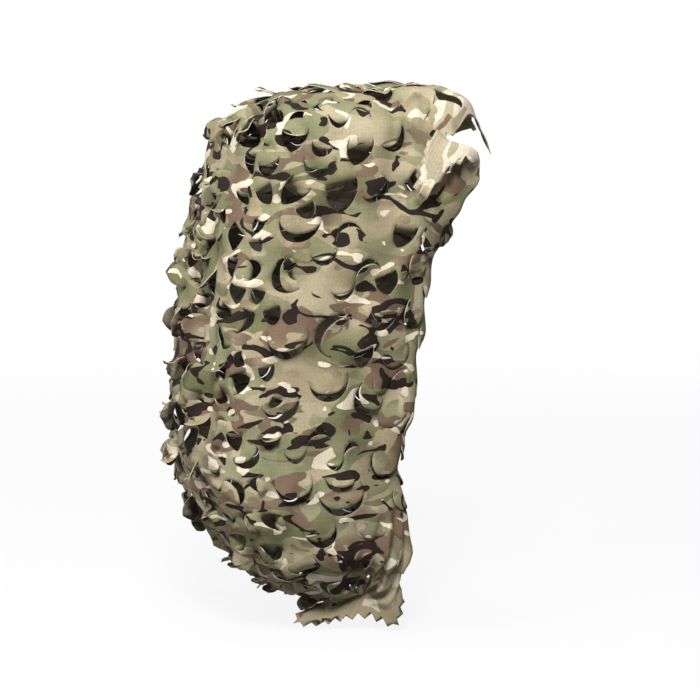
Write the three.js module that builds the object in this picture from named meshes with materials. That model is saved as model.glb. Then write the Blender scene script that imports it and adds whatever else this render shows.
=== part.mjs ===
// A camouflage net for a backpack: one sheet of leaf-cut ripstop, drawn over the pack's front,
// sides, top and bottom, with its outer margin turned in round the pack's back panel. The margin
// is left loose at the top and at the corners, where the rectangular sheet has cloth to spare.
//
// Frame, in millimetres: +Z up, +Y towards the wearer's back, +X to one side. The origin is under
// the cover's top, where the pack holds it up.
//
// The sheet is laid out as two charts of square tiles that share their border points:
//   front  columns across (towards +X) by rows up
//   wall   stations round the cover (from bottom middle, up the -X side, over the top and down the
//          +X side) by steps back, from the front edge to the free hem
// Each chart unit is half a tile. A tile is plain cloth or carries a leaf: a tongue cut free on
// three sides that lifts out of the sheet and leaves a gap behind it.
import * as THREE from 'three';

// ---- Driving sizes ------------------------------------------------------------------------
const CLOTH_THICKNESS = 1.5;
const BODY_HEIGHT = 512;
const BODY_HALF_WIDTH = 148;
const BODY_DEPTH = 215;        // nominal, stretched by the section table below
const CORNER_RADIUS = 74;      // corners seen from the front
const FRONT_EDGE_RADIUS = 52;  // edge between the front and the four walls
const WALL_PUFF = 7;           // how far the walls bulge between front and back edge
const FRONT_PUFF = 12;         // how far the front bulges at its middle
const TOP_LEVEL = -5;          // the top's outline, which the puff lifts just clear of the origin

// Tiles across and up the front, and tiles back along the walls and the margin.
const TILES_ACROSS = 6;
const TILES_UP = 10;
const WALL_TILES = 5;
const MARGIN_TILES = 2;

// Chart sizes in half tiles.
const ACROSS = 2 * TILES_ACROSS;
const UP = 2 * TILES_UP;
const AROUND = 2 * (ACROSS + UP);
const WALL_STEPS = 2 * WALL_TILES;
const MARGIN_STEPS = 2 * MARGIN_TILES;
const BACK = WALL_STEPS + MARGIN_STEPS;

// Stations at the ends of the four sides of the wall chart.
const FAR_START = ACROSS / 2;
const TOP_START = FAR_START + UP;
const NEAR_START = TOP_START + ACROSS;
const NEAR_END = NEAR_START + UP;

// Section table: where the front and the back edge lie at each height, and how wide the cover is.
const SECTIONS = [
  { z: 20, front: -54, back: 122, width: 0.93 },
  { z: -50, front: -74, back: 117, width: 0.96 },
  { z: -108, front: -89, back: 107, width: 0.98 },
  { z: -162, front: -99, back: 98, width: 1.0 },
  { z: -216, front: -107, back: 88, width: 1.0 },
  { z: -270, front: -113, back: 77, width: 1.0 },
  { z: -324, front: -117, back: 66, width: 1.01 },
  { z: -378, front: -116, back: 55, width: 1.01 },
  { z: -426, front: -102, back: 52, width: 1.0 },
  { z: -476, front: -74, back: 47, width: 0.98 },
  { z: -536, front: -22, back: 44, width: 0.94 },
];

// Main folds: soft ridges (rise over 0) and troughs (under 0) along a line from a to b.
const FOLDS = [
  { name: 'side crease', a: [150, -28, -110], b: [152, 12, -400], spread: 20, rise: 7 },
  { name: 'side hollow', a: [150, -62, -150], b: [152, -40, -330], spread: 24, rise: -6 },
  { name: 'pull to top corner', a: [146, 128, -70], b: [150, 20, -250], spread: 17, rise: 9 },
  { name: 'hollow under the pull', a: [146, 112, -150], b: [150, 62, -300], spread: 20, rise: -7 },
  { name: 'lip under the top', a: [128, -50, -26], b: [130, 110, -30], spread: 13, rise: 6 },
  { name: 'low side swell', a: [150, -60, -420], b: [146, 50, -470], spread: 26, rise: 7 },
  { name: 'front ridge', a: [-60, -100, -120], b: [30, -125, -360], spread: 26, rise: 7 },
  { name: 'front hollow', a: [70, -100, -150], b: [95, -120, -330], spread: 24, rise: -6 },
  { name: 'top wave', a: [60, -20, 0], b: [-40, 120, 0], spread: 24, rise: 5 },
  { name: 'top crown', a: [0, -20, 4], b: [0, 90, 0], spread: 95, rise: 9 },
  { name: 'top back ridge', a: [-75, 128, 0], b: [85, 128, -4], spread: 44, rise: 14 },
  { name: 'top hollow', a: [-90, -10, 0], b: [-70, 110, 0], spread: 26, rise: -5 },
  { name: 'tail pleat', a: [150, 48, -425], b: [128, 68, -545], spread: 15, rise: 8 },
  { name: 'tail hollow', a: [152, 22, -440], b: [132, 38, -525], spread: 13, rise: -8 },
  { name: 'far side crease', a: [-150, 60, -90], b: [-152, -40, -380], spread: 24, rise: 8 },
  { name: 'far side hollow', a: [-150, 90, -240], b: [-150, 0, -460], spread: 24, rise: -6 },
];

// The margin round the back opening. Each row is a place round the cover, as a share of the side
// that it is on, with the margin's length there, the share of that length in which it turns, and
// the ways that it heads halfway through the turn and at its hem: inwards over the pack's back,
// backwards, and downwards.
const MARGIN = [
  { side: 'farBottom', at: 0.0, length: 50, turn: 1, half: [0.7, 0.6, -0.1], hem: [1, -0.1, 0] },
  { side: 'farBottom', at: 0.7, length: 60, turn: 1, half: [0.2, 0.7, 0.6], hem: [0.2, -0.1, 1] },
  { side: 'far', at: 0.04, length: 64, turn: 1, half: [0.3, 0.6, 0.7], hem: [0, -0.3, 1] },
  { side: 'far', at: 0.18, length: 86, turn: 1, half: [0.5, 0.9, 0], hem: [0.9, 0.5, 0] },
  { side: 'far', at: 0.78, length: 88, turn: 1, half: [0.5, 0.9, 0], hem: [0.9, 0.5, 0] },
  { side: 'far', at: 0.92, length: 78, turn: 1, half: [0.3, 0.8, 0.5], hem: [0.3, 0.3, 1] },
  { side: 'top', at: 0.1, length: 70, turn: 1, half: [0.1, 1, 0.3], hem: [0, 0.1, 1] },
  { side: 'top', at: 0.45, length: 78, turn: 1, half: [0, 1, 0.1], hem: [0, 0.5, 0.8] },
  { side: 'top', at: 0.9, length: 80, turn: 1, half: [0, 1, 0.1], hem: [0, 0.5, 0.8] },
  { side: 'near', at: 0.2, length: 60, turn: 1, half: [0.5, 0.8, 0], hem: [0.9, 0.2, -0.1] },
  { side: 'near', at: 0.3, length: 78, turn: 0.5, half: [1, 0.2, 0], hem: [1, -0.15, 0] },
  { side: 'near', at: 0.74, length: 84, turn: 0.5, half: [1, 0.2, 0], hem: [1, -0.15, 0] },
  { side: 'near', at: 0.84, length: 56, turn: 1, half: [0.7, 0.5, 0.4], hem: [0.7, -0.4, 0.6] },
  { side: 'nearBottom', at: 0.0, length: 72, turn: 0.7, half: [0, 0.4, 0.9], hem: [0, -0.3, 0.9] },
  { side: 'nearBottom', at: 0.85, length: 50, turn: 1, half: [0.6, 0.7, 0.1], hem: [1, -0.2, 0.1] },
];

// Where the sheet's loose corners lie. At each station the margin runs from the wall's back edge
// to a fold and from there to the hem. At the top corner it droops, then is thrown over the near
// side, and at the bottom corner it hangs as a tail with a strip that points forwards.
const TOP_CORNER = [
  { station: 33.0, fold: [21, 160, -6], hem: [21, 176, -18] },
  { station: 34.0, fold: [41, 165, -7], hem: [41, 182, -22] },
  { station: 34.8, fold: [57, 169, -8], hem: [57, 190, -48] },
  { station: 35.3, fold: [67, 167, -8], hem: [67, 192, -56] },
  { station: 35.8, fold: [79, 159, -8], hem: [79, 176, -30] },
  { station: 36.4, fold: [98, 143, -8], hem: [106, 153, -20] },
  { station: 37.0, fold: [120, 131, -18], hem: [131, 134, -33] },
  { station: 37.5, fold: [137, 119, -27], hem: [154, 116, -43] },
  { station: 37.7, fold: [146, 108, -32], hem: [159, 92, -44] },
  { station: 38.0, fold: [152, 110, -37], hem: [164, 81, -67] },
  { station: 38.3, fold: [156, 115, -41], hem: [168, 74, -90] },
  { station: 38.7, fold: [159, 119, -42], hem: [170, 78, -104] },
  { station: 39.2, fold: [161, 123, -43], hem: [171, 99, -100] },
  { station: 39.7, fold: [161, 131, -45], hem: [170, 113, -79] },
  { station: 40.1, fold: [160, 141, -50], hem: [166, 131, -66] },
  { station: 40.6, fold: [155, 155, -62], hem: [152, 142, -68] },
  { station: 41.1, fold: [151, 159, -80], hem: [139, 140, -80] },
  { station: 41.7, fold: [148, 149, -96], hem: [131, 131, -96] },
  { station: 42.3, fold: [146, 131, -113], hem: [124, 122, -114] },
  { station: 43.2, fold: [144, 119, -140], hem: [120, 117, -140] },
];
const BOTTOM_CORNER = [
  { station: 56.0, fold: [140, 66, -468], hem: [124, 72, -480] },
  { station: 56.8, fold: [137, 66, -488], hem: [127, 74, -502] },
  { station: 57.5, fold: [133, 66, -500], hem: [126, 80, -524] },
  { station: 58.1, fold: [127, 62, -508], hem: [121, 75, -548] },
  { station: 58.7, fold: [115, 54, -514], hem: [114, 62, -547] },
  { station: 59.3, fold: [104, 46, -522], hem: [105, 42, -542] },
  { station: 59.9, fold: [93, 30, -530], hem: [95, 6, -548] },
  { station: 60.4, fold: [85, 16, -536], hem: [86, -22, -552] },
  { station: 60.8, fold: [79, 14, -535], hem: [82, -30, -541] },
  { station: 61.2, fold: [72, 20, -532], hem: [75, -10, -537] },
  { station: 61.7, fold: [60, 32, -528], hem: [62, 16, -533] },
  { station: 62.3, fold: [42, 46, -524], hem: [42, 42, -528] },
];
const LOOSE_EASE = 0.7;  // stations over which a loose corner passes into the plain margin
const FOLD_WIDTH = 0.2;  // how softly the cloth turns at a fold, as a share of the way to it

// Stretches of the walls and margin that stay plain from a step back, but for one open leaf.
const BARE = [
  { first: 36.4, last: 42.6, step: 6.6 },
  { first: 34.0, last: 36.5, step: 9.6 },
  { first: 56.6, last: 62.4, step: 9.6 },
];
const CORNER_LEAF = { column: 18, row: 4 };

// Leaf proportions, in half tiles: places along the tongue from its root to its tip, and half
// widths there.
const LEAF = {
  root: -0.5,
  rootBow: 0.06,
  rootWidth: 0.64,
  shoulder: -0.08,
  shoulderWidth: 0.665,
  belly: 0.36,
  bellyWidth: 0.485,
  tip: 0.7,
};
const GAP = { wider: 1.09, longer: 1.05 };          // the gap, against its tongue
const LEAF_SIZE = { smallest: 0.86, spread: 0.2 };  // each leaf's size, against the table above
const LEAF_TWIST = 40;                              // spread of the leaves' ways, in degrees

// How leaves stand on each part of the cover: the share of tiles that carry one, and the lift at
// the tongue's root and at its tip, in degrees.
const LEAF_RULES = {
  front: { share: 0.55, root: 26, tip: 92 },
  edge: { share: 0.36, root: 22, tip: 84 },
  near: { share: 0.34, root: 14, tip: 58 },
  top: { share: 0.25, root: 16, tip: 50 },
  far: { share: 0.2, root: 14, tip: 46 },
  bottom: { share: 0.1, root: 18, tip: 60 },
  margin: { share: 0.12, root: 12, tip: 40 },
};
const EDGE_ROWS = 2;           // tile rows of the walls that lie round the front edge
const STRAIGHT_SHARE = 0.5;    // leaves on the front and its edges that point as on the sides

// The near side's open leaves, as tiles counted down from the top, in rows back from the front.
const NEAR_OPEN = [
  { row: 1, tiles: [0, 1, 4, 6, 8] },
  { row: 2, tiles: [0, 1, 4, 7] },
  { row: 3, tiles: [3, 4, 8] },
  { row: 4, tiles: [2, 5] },
];

// ---- Small helpers ------------------------------------------------------------------------
const DEGREE = Math.PI / 180;

// A repeatable number from 0 to 1 for each tile and purpose.
function chance(column, row, purpose) {
  const mixed = Math.sin(column * 127.1 + row * 311.7 + purpose * 74.7) * 43758.5453;
  return mixed - Math.floor(mixed);
}

// The value of a table's column at a key, on a smooth curve through the rows.
function smoothColumn(rows, key, column, at) {
  const down = rows[0][key] > rows[rows.length - 1][key];
  let i = 0;
  while (i < rows.length - 2 && (down ? at < rows[i + 1][key] : at > rows[i + 1][key])) i += 1;
  const span = rows[i + 1][key] - rows[i][key];
  const t = THREE.MathUtils.clamp((at - rows[i][key]) / span, 0, 1);
  const slope = (k) => {
    const before = rows[Math.max(k - 1, 0)];
    const after = rows[Math.min(k + 1, rows.length - 1)];
    return ((after[column] - before[column]) / (after[key] - before[key])) * span;
  };
  const [p, q] = [rows[i][column], rows[i + 1][column]];
  const [m, n] = [slope(i), slope(i + 1)];
  return p + t * (m + t * (3 * (q - p) - 2 * m - n + t * (2 * (p - q) + m + n)));
}

// ---- The cover's outline, seen from the front ---------------------------------------------
const ARC = (Math.PI / 2) * CORNER_RADIUS;
const STRAIGHT_ACROSS = 2 * (BODY_HALF_WIDTH - CORNER_RADIUS);
const STRAIGHT_UP = BODY_HEIGHT - 2 * CORNER_RADIUS;

// Lengths of the outline from bottom middle to the middle of each corner in turn.
const LENGTH_AT = [
  { station: 0, length: 0 },
  { station: FAR_START, length: (STRAIGHT_ACROSS + ARC) / 2 },
  { station: TOP_START, length: (STRAIGHT_ACROSS + ARC) / 2 + STRAIGHT_UP + ARC },
  { station: NEAR_START, length: 1.5 * (STRAIGHT_ACROSS + ARC) + STRAIGHT_UP + ARC },
  { station: NEAR_END, length: 1.5 * (STRAIGHT_ACROSS + ARC) + 2 * (STRAIGHT_UP + ARC) },
  { station: AROUND, length: 2 * (STRAIGHT_ACROSS + STRAIGHT_UP) + 4 * ARC },
];

// The outline's point and outward normal at a station.
function outline(station) {
  const at = ((station % AROUND) + AROUND) % AROUND;
  let i = 0;
  while (at > LENGTH_AT[i + 1].station) i += 1;
  const [from, to] = [LENGTH_AT[i], LENGTH_AT[i + 1]];
  const share = (at - from.station) / (to.station - from.station);
  let rest = from.length + share * (to.length - from.length);
  // Walk the straights and corners clockwise, seen from the front with +X to the right.
  let [left, z, heading] = [0, TOP_LEVEL - BODY_HEIGHT, 0];
  const legs = [
    STRAIGHT_ACROSS / 2, 'corner', STRAIGHT_UP, 'corner', STRAIGHT_ACROSS, 'corner', STRAIGHT_UP,
    'corner', STRAIGHT_ACROSS / 2,
  ];
  for (const leg of legs) {
    const length = leg === 'corner' ? ARC : leg;
    const gone = Math.min(rest, length);
    if (leg === 'corner') {
      const turned = gone / CORNER_RADIUS;
      left += CORNER_RADIUS * (Math.sin(heading + turned) - Math.sin(heading));
      z += CORNER_RADIUS * (Math.cos(heading) - Math.cos(heading + turned));
      heading += turned;
    } else {
      left += gone * Math.cos(heading);
      z += gone * Math.sin(heading);
    }
    rest -= gone;
    if (rest <= 0) break;
  }
  return { x: -left, z, outX: -Math.sin(heading), outZ: -Math.cos(heading) };
}

// ---- The body of the cover ----------------------------------------------------------------
// A point given by its place across and up, and its depth behind the front plane.
function bodyPoint(x, z, depth) {
  const front = smoothColumn(SECTIONS, 'z', 'front', z);
  const back = smoothColumn(SECTIONS, 'z', 'back', z);
  const share = depth / BODY_DEPTH;
  const across = x / BODY_HALF_WIDTH;
  const puff = FRONT_PUFF * (1 - across * across) * (1 - share);
  const wide = x * smoothColumn(SECTIONS, 'z', 'width', z);
  return new THREE.Vector3(wide, front + share * (back - front) - puff, z);
}

const EDGE_ARC = (Math.PI / 2) * FRONT_EDGE_RADIUS;
const WALL_LENGTH = EDGE_ARC + BODY_DEPTH - FRONT_EDGE_RADIUS;

// A point of the walls: round the front edge first, then straight back with a slight bulge.
function wallPoint(station, step) {
  const { x, z, outX, outZ } = outline(station);
  const along = (Math.min(step, WALL_STEPS) / WALL_STEPS) * WALL_LENGTH;
  const turned = Math.min(along / FRONT_EDGE_RADIUS, Math.PI / 2);
  const inset = FRONT_EDGE_RADIUS * (1 - Math.sin(turned));
  const straight = Math.max(along - EDGE_ARC, 0);
  const depth = FRONT_EDGE_RADIUS * (1 - Math.cos(turned)) + straight;
  const puff = WALL_PUFF * Math.sin((Math.PI * straight) / (BODY_DEPTH - FRONT_EDGE_RADIUS));
  return bodyPoint(x + outX * (puff - inset), z + outZ * (puff - inset), depth);
}

// ---- The margin ---------------------------------------------------------------------------
const SIDES = {
  farBottom: { start: 0, length: FAR_START },
  far: { start: FAR_START, length: UP },
  top: { start: TOP_START, length: ACROSS },
  near: { start: NEAR_START, length: UP },
  nearBottom: { start: NEAR_END, length: AROUND - NEAR_END },
};
const MARGIN_AT = MARGIN.map((row) => ({
  ...row,
  station: SIDES[row.side].start + row.at * SIDES[row.side].length,
}));
MARGIN_AT.push({ ...MARGIN_AT[0], station: AROUND });

// The margin's length and headings at a station, eased from row to row.
function marginAt(station) {
  const at = ((station % AROUND) + AROUND) % AROUND;
  let i = 0;
  while (at > MARGIN_AT[i + 1].station) i += 1;
  const [from, to] = [MARGIN_AT[i], MARGIN_AT[i + 1]];
  const t = THREE.MathUtils.smoothstep(at, from.station, to.station);
  const mix = (p, q) => p + t * (q - p);
  return {
    length: mix(from.length, to.length),
    turn: mix(from.turn, to.turn),
    half: from.half.map((value, k) => mix(value, to.half[k])),
    hem: from.hem.map((value, k) => mix(value, to.hem[k])),
  };
}

const MARGIN_STRIDES = 24;

// A point of the plain margin, walked from the wall's back edge along its changing heading.
function walkedPoint(station, step) {
  const { outX, outZ } = outline(station);
  const { length, turn, half, hem } = marginAt(station);
  const inwards = new THREE.Vector3(-outX, 0, -outZ);
  const backwards = new THREE.Vector3(0, 1, 0);
  const downwards = new THREE.Vector3(0, 0, -1);
  const heading = (way) => new THREE.Vector3()
    .addScaledVector(inwards, way[0])
    .addScaledVector(backwards, way[1])
    .addScaledVector(downwards, way[2])
    .normalize();
  const [start, middle, end] = [heading([0, 1, 0]), heading(half), heading(hem)];
  const reach = (step - WALL_STEPS) / MARGIN_STEPS;
  const point = wallPoint(station, WALL_STEPS);
  const stride = reach / MARGIN_STRIDES;
  for (let k = 0; k < MARGIN_STRIDES; k += 1) {
    const t = Math.min(((k + 0.5) * stride) / turn, 1);
    const way = new THREE.Vector3()
      .addScaledVector(start, (1 - t) * (1 - t))
      .addScaledVector(middle, 2 * t * (1 - t))
      .addScaledVector(end, t * t)
      .normalize();
    point.addScaledVector(way, stride * length);
  }
  return point;
}

// A table's fold or hem at a station.
function loosePlace(table, place, station) {
  const rows = table.map((row) => ({ station: row.station, value: row[place] }));
  const along = (k) => rows.map((row) => ({ station: row.station, value: row.value[k] }));
  return new THREE.Vector3(...[0, 1, 2].map(
    (k) => smoothColumn(along(k), 'station', 'value', station),
  ));
}

// A point of a loose corner, on the way from the wall's back edge to the fold and the hem.
function loosePoint(table, station, step) {
  const edge = wallPoint(station, WALL_STEPS);
  const fold = loosePlace(table, 'fold', station);
  const hem = loosePlace(table, 'hem', station);
  const past = (way) => way + Math.hypot(way, FOLD_WIDTH);
  const way = (2 * (step - WALL_STEPS)) / MARGIN_STEPS - 1;
  const second = (past(way) - past(-1)) / (past(1) - past(-1));
  const first = way + 1 - second;
  return edge.clone()
    .addScaledVector(fold.clone().sub(edge), first)
    .addScaledVector(hem.sub(fold), second);
}

// A point of the margin: the plain margin, with the loose corners as they lie.
function marginPoint(station, step) {
  const at = ((station % AROUND) + AROUND) % AROUND;
  const point = walkedPoint(at, step);
  for (const table of [TOP_CORNER, BOTTOM_CORNER]) {
    const inside = Math.min(at - table[0].station, table[table.length - 1].station - at);
    const share = THREE.MathUtils.smoothstep(inside, 0, LOOSE_EASE);
    if (share > 0) point.lerp(loosePoint(table, at, step), share);
  }
  return point;
}

// ---- The two charts -----------------------------------------------------------------------
// The front is a blend of its four borders, which are the wall chart's first ring.
function frontPlace(column, row) {
  const [s, t] = [column / ACROSS, row / UP];
  const ring = (station) => {
    const { x, z, outX, outZ } = outline(station);
    return [x - outX * FRONT_EDGE_RADIUS, z - outZ * FRONT_EDGE_RADIUS];
  };
  const bottom = ring(FAR_START - column);
  const top = ring(TOP_START + column);
  const left = ring(FAR_START + row);
  const right = ring(NEAR_END - row);
  const corners = [ring(FAR_START), ring(NEAR_END), ring(TOP_START), ring(NEAR_START)];
  return [0, 1].map((k) => (1 - t) * bottom[k] + t * top[k] + (1 - s) * left[k] + s * right[k]
    - (1 - s) * (1 - t) * corners[0][k] - s * (1 - t) * corners[1][k]
    - (1 - s) * t * corners[2][k] - s * t * corners[3][k]);
}

function smoothPoint(chart, u, v) {
  if (chart === 'front') {
    const [x, z] = frontPlace(u, v);
    return bodyPoint(x, z, 0);
  }
  return v <= WALL_STEPS ? wallPoint(u, v) : marginPoint(u, v);
}

// The outward normal of the smooth surface, from points a little to each side.
const PROBE = 0.05;
function outwardNormal(chart, u, v) {
  const limits = chart === 'front' ? [0, ACROSS, 0, UP] : [-Infinity, Infinity, 0, BACK];
  const [u0, u1] = [Math.max(u - PROBE, limits[0]), Math.min(u + PROBE, limits[1])];
  const [v0, v1] = [Math.max(v - PROBE, limits[2]), Math.min(v + PROBE, limits[3])];
  const alongU = smoothPoint(chart, u1, v).sub(smoothPoint(chart, u0, v));
  const alongV = smoothPoint(chart, u, v1).sub(smoothPoint(chart, u, v0));
  return new THREE.Vector3().crossVectors(alongU, alongV).normalize();
}

// How far the main folds raise the cloth at a point.
function foldRise(point) {
  let rise = 0;
  const nearest = new THREE.Vector3();
  for (const fold of FOLDS) {
    const line = new THREE.Line3(new THREE.Vector3(...fold.a), new THREE.Vector3(...fold.b));
    line.closestPointToPoint(point, true, nearest);
    const away = nearest.distanceTo(point) / fold.spread;
    rise += fold.rise * Math.exp(-away * away);
  }
  return rise;
}

function clothPoint(chart, u, v) {
  const point = smoothPoint(chart, u, v);
  return point.addScaledVector(outwardNormal(chart, u, v), foldRise(point));
}

// ---- Tiles --------------------------------------------------------------------------------
const vertices = [];
const triangles = [];
const known = new Map();

// The cloth's vertex at a whole place of a chart; the front's border is the wall's first ring.
function vertexAt(chart, u, v) {
  let place = [chart, u, v];
  if (chart === 'front') {
    if (v === 0) place = ['wall', FAR_START - u, 0];
    else if (v === UP) place = ['wall', TOP_START + u, 0];
    else if (u === 0) place = ['wall', FAR_START + v, 0];
    else if (u === ACROSS) place = ['wall', NEAR_END - v, 0];
  }
  if (place[0] === 'wall') place[1] = (place[1] + AROUND) % AROUND;
  const name = place.join(' ');
  if (!known.has(name)) {
    known.set(name, vertices.length);
    vertices.push(clothPoint(...place));
  }
  return known.get(name);
}

function addVertex(point) {
  vertices.push(point);
  return vertices.length - 1;
}

function addQuad(a, b, c, d) {
  triangles.push([a, b, c], [a, c, d]);
}

// Plain cloth: one quad for each half tile square, split along its shorter way.
function plainSquare(chart, u, v) {
  const [a, b] = [vertexAt(chart, u, v), vertexAt(chart, u + 1, v)];
  const [c, d] = [vertexAt(chart, u + 1, v + 1), vertexAt(chart, u, v + 1)];
  if (vertices[a].distanceTo(vertices[c]) <= vertices[b].distanceTo(vertices[d])) {
    addQuad(a, b, c, d);
  } else {
    addQuad(b, c, d, a);
  }
}

function plainTile(chart, u, v) {
  for (const [du, dv] of [[-1, -1], [0, -1], [-1, 0], [0, 0]]) plainSquare(chart, u + du, v + dv);
}

// A leaf tile. The tongue points a quarter turn times `turns` from the chart's +v way, with a
// small twist of its own, and bends away from the cloth from its root to its tip.
function leafTile(chart, u, v, turns, twist, size, rule) {
  const quarter = (a, b) => {
    let place = [a, b];
    for (let k = 0; k < turns; k += 1) place = [place[1], -place[0]];
    return place;
  };
  const inTile = (a, b) => {
    const [c, s] = [Math.cos(twist), Math.sin(twist)];
    return quarter(size * (a * c + b * s), size * (b * c - a * s));
  };
  const border = [[0, -1], [-1, -1], [-1, 0], [-1, 1], [0, 1], [1, 1], [1, 0], [1, -1]]
    .map(([a, b]) => quarter(a, b))
    .map(([a, b]) => vertexAt(chart, u + a, v + b));
  const { root, shoulder, belly, tip } = LEAF;
  const outlinePlaces = [
    [-LEAF.rootWidth, root], [-LEAF.shoulderWidth, shoulder], [-LEAF.bellyWidth, belly], [0, tip],
    [LEAF.bellyWidth, belly], [LEAF.shoulderWidth, shoulder], [LEAF.rootWidth, root],
  ];
  const onCloth = ([a, b]) => {
    const [du, dv] = inTile(a, b);
    return clothPoint(chart, u + du, v + dv);
  };
  const rootLeft = addVertex(onCloth(outlinePlaces[0]));
  const rootRight = addVertex(onCloth(outlinePlaces[6]));
  const rootMiddle = addVertex(onCloth([0, root - LEAF.rootBow]));

  // The cloth round the gap.
  const gap = [rootMiddle, rootLeft];
  for (const [a, b] of outlinePlaces.slice(1, 6)) {
    gap.push(addVertex(onCloth([a * GAP.wider, root + (b - root) * GAP.longer])));
  }
  gap.push(rootRight);
  for (let k = 0; k < 8; k += 1) {
    const next = (k + 1) % 8;
    addQuad(border[next], border[k], gap[k], gap[next]);
  }

  // The tongue: each place moves out along an arc from its foot on the root line.
  const out = outwardNormal(chart, u, v);
  const middleOfRoot = vertices[rootLeft].clone().add(vertices[rootRight]).multiplyScalar(0.5);
  const tongueWay = onCloth([0, tip]).sub(middleOfRoot);
  const tongueLength = tongueWay.length();
  tongueWay.addScaledVector(out, -tongueWay.dot(out)).normalize();
  const bend = ((rule.tip - rule.root) * DEGREE) / tongueLength;
  const lifted = (place) => {
    const foot = onCloth([place[0], root]);
    const along = (tongueLength * (place[1] - root)) / (tip - root);
    const [first, last] = [rule.root * DEGREE, rule.root * DEGREE + bend * along];
    return addVertex(foot
      .addScaledVector(tongueWay, (Math.sin(last) - Math.sin(first)) / bend)
      .addScaledVector(out, (Math.cos(first) - Math.cos(last)) / bend));
  };
  const edge = outlinePlaces.slice(1, 6).map(lifted);
  const spine = [lifted([0, shoulder]), lifted([0, belly])];
  addQuad(rootLeft, rootMiddle, spine[0], edge[0]);
  addQuad(rootMiddle, rootRight, edge[4], spine[0]);
  addQuad(edge[0], spine[0], spine[1], edge[1]);
  addQuad(spine[0], edge[4], edge[3], spine[1]);
  triangles.push([edge[1], spine[1], edge[2]], [spine[1], edge[3], edge[2]]);
}

// The part of the cover that a tile is on, and the quarter turns that point its leaf downwards
// on the front and sides, and forwards on the top and bottom.
function partOf(chart, u, v) {
  if (chart === 'front') return { part: 'front', turns: 2 };
  const at = (u + AROUND) % AROUND;
  if (at < FAR_START || at > NEAR_END) return { part: 'bottom', turns: 2 };
  if (at <= TOP_START) return { part: 'far', turns: 3 };
  if (at < NEAR_START) return { part: 'top', turns: 2 };
  return { part: 'near', turns: 1 };
}

// Whether a tile's leaf stands open: by the tables on the near side and round the loose corner,
// and elsewhere by chance.
function standsOpen(part, column, row, rule) {
  const [u, v] = [2 * column + 1 + (row % 2), 2 * row + 1];
  const bare = BARE.some((line) => u > line.first && u < line.last && v > line.step);
  if (part !== 'front' && bare) return column === CORNER_LEAF.column && row === CORNER_LEAF.row;
  const charted = part === 'near' && NEAR_OPEN.find((line) => line.row === row);
  if (charted) return charted.tiles.includes(column - NEAR_START / 2);
  return chance(column, row, part.length) < rule.share;
}

// On the front and its edges some leaves point to one side or the other.
function turnedSideways(turns, column, row) {
  const draw = chance(column, row, 43);
  if (draw < STRAIGHT_SHARE) return turns;
  return (turns + (draw < (1 + STRAIGHT_SHARE) / 2 ? 3 : 1)) % 4;
}

function coverTile(chart, column, row, u, v) {
  const { part, turns: straight } = partOf(chart, u, v);
  const sideways = chart === 'front' || row < EDGE_ROWS;
  const turns = sideways ? turnedSideways(straight, column, row) : straight;
  let rule = LEAF_RULES[part];
  if (chart === 'wall' && row < EDGE_ROWS) rule = LEAF_RULES.edge;
  if (chart === 'wall' && row >= WALL_TILES) rule = LEAF_RULES.margin;
  if (standsOpen(part, column, row, rule)) {
    const twist = (chance(column, row, 11) - 0.5) * LEAF_TWIST * DEGREE;
    const size = LEAF_SIZE.smallest + LEAF_SIZE.spread * chance(column, row, 13);
    leafTile(chart, u, v, turns, twist, size, rule);
  } else {
    plainTile(chart, u, v);
  }
}

// The front's odd rows start half a tile along, with a plain half tile at each end.
function coverFront() {
  for (let row = 0; row < TILES_UP; row += 1) {
    const shift = row % 2;
    const v = 2 * row + 1;
    for (let column = 0; column < TILES_ACROSS - shift; column += 1) {
      coverTile('front', column, row, 2 * column + 1 + shift, v);
    }
    if (shift) {
      for (const u of [0, ACROSS - 1]) {
        plainSquare('front', u, v - 1);
        plainSquare('front', u, v);
      }
    }
  }
}

// The walls' odd rows start half a tile round.
function coverWalls() {
  for (let row = 0; row < WALL_TILES + MARGIN_TILES; row += 1) {
    for (let column = 0; column < AROUND / 2; column += 1) {
      coverTile('wall', column, row, 2 * column + 1 + (row % 2), 2 * row + 1);
    }
  }
}

// ---- From a surface to cloth of a real thickness -------------------------------------------
function vertexNormals() {
  const normals = vertices.map(() => new THREE.Vector3());
  const face = new THREE.Triangle();
  for (const [a, b, c] of triangles) {
    face.set(vertices[a], vertices[b], vertices[c]);
    const weighted = face.getNormal(new THREE.Vector3()).multiplyScalar(face.getArea());
    for (const corner of [a, b, c]) normals[corner].add(weighted);
  }
  return normals.map((normal) => normal.normalize());
}

// The outer face, the inner face and a wall along every cut edge.
function thickened() {
  const normals = vertexNormals();
  const half = CLOTH_THICKNESS / 2;
  const outer = vertices.map((p, i) => p.clone().addScaledVector(normals[i], half));
  const inner = vertices.map((p, i) => p.clone().addScaledVector(normals[i], -half));
  const count = vertices.length;
  const index = [];
  const edges = new Map();
  for (const [a, b, c] of triangles) {
    index.push(a, b, c, a + count, c + count, b + count);
    for (const [p, q] of [[a, b], [b, c], [c, a]]) edges.set(`${p} ${q}`, [p, q]);
  }
  for (const [p, q] of edges.values()) {
    if (!edges.has(`${q} ${p}`)) index.push(q, p, p + count, q, p + count, q + count);
  }
  const geometry = new THREE.BufferGeometry();
  const places = [...outer, ...inner].flatMap((p) => [p.x, p.y, p.z]);
  geometry.setAttribute('position', new THREE.Float32BufferAttribute(places, 3));
  geometry.setIndex(index);
  geometry.computeVertexNormals();
  return geometry;
}

// ---- The part -----------------------------------------------------------------------------
coverFront();
coverWalls();

const clothMaterial = new THREE.MeshStandardMaterial({ color: 0x8f8763, roughness: 0.92, metalness: 0 });
const net = new THREE.Mesh(thickened(), clothMaterial);
net.name = 'net_sheet';

const cover = new THREE.Group();
cover.add(net);

export default cover;
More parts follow.
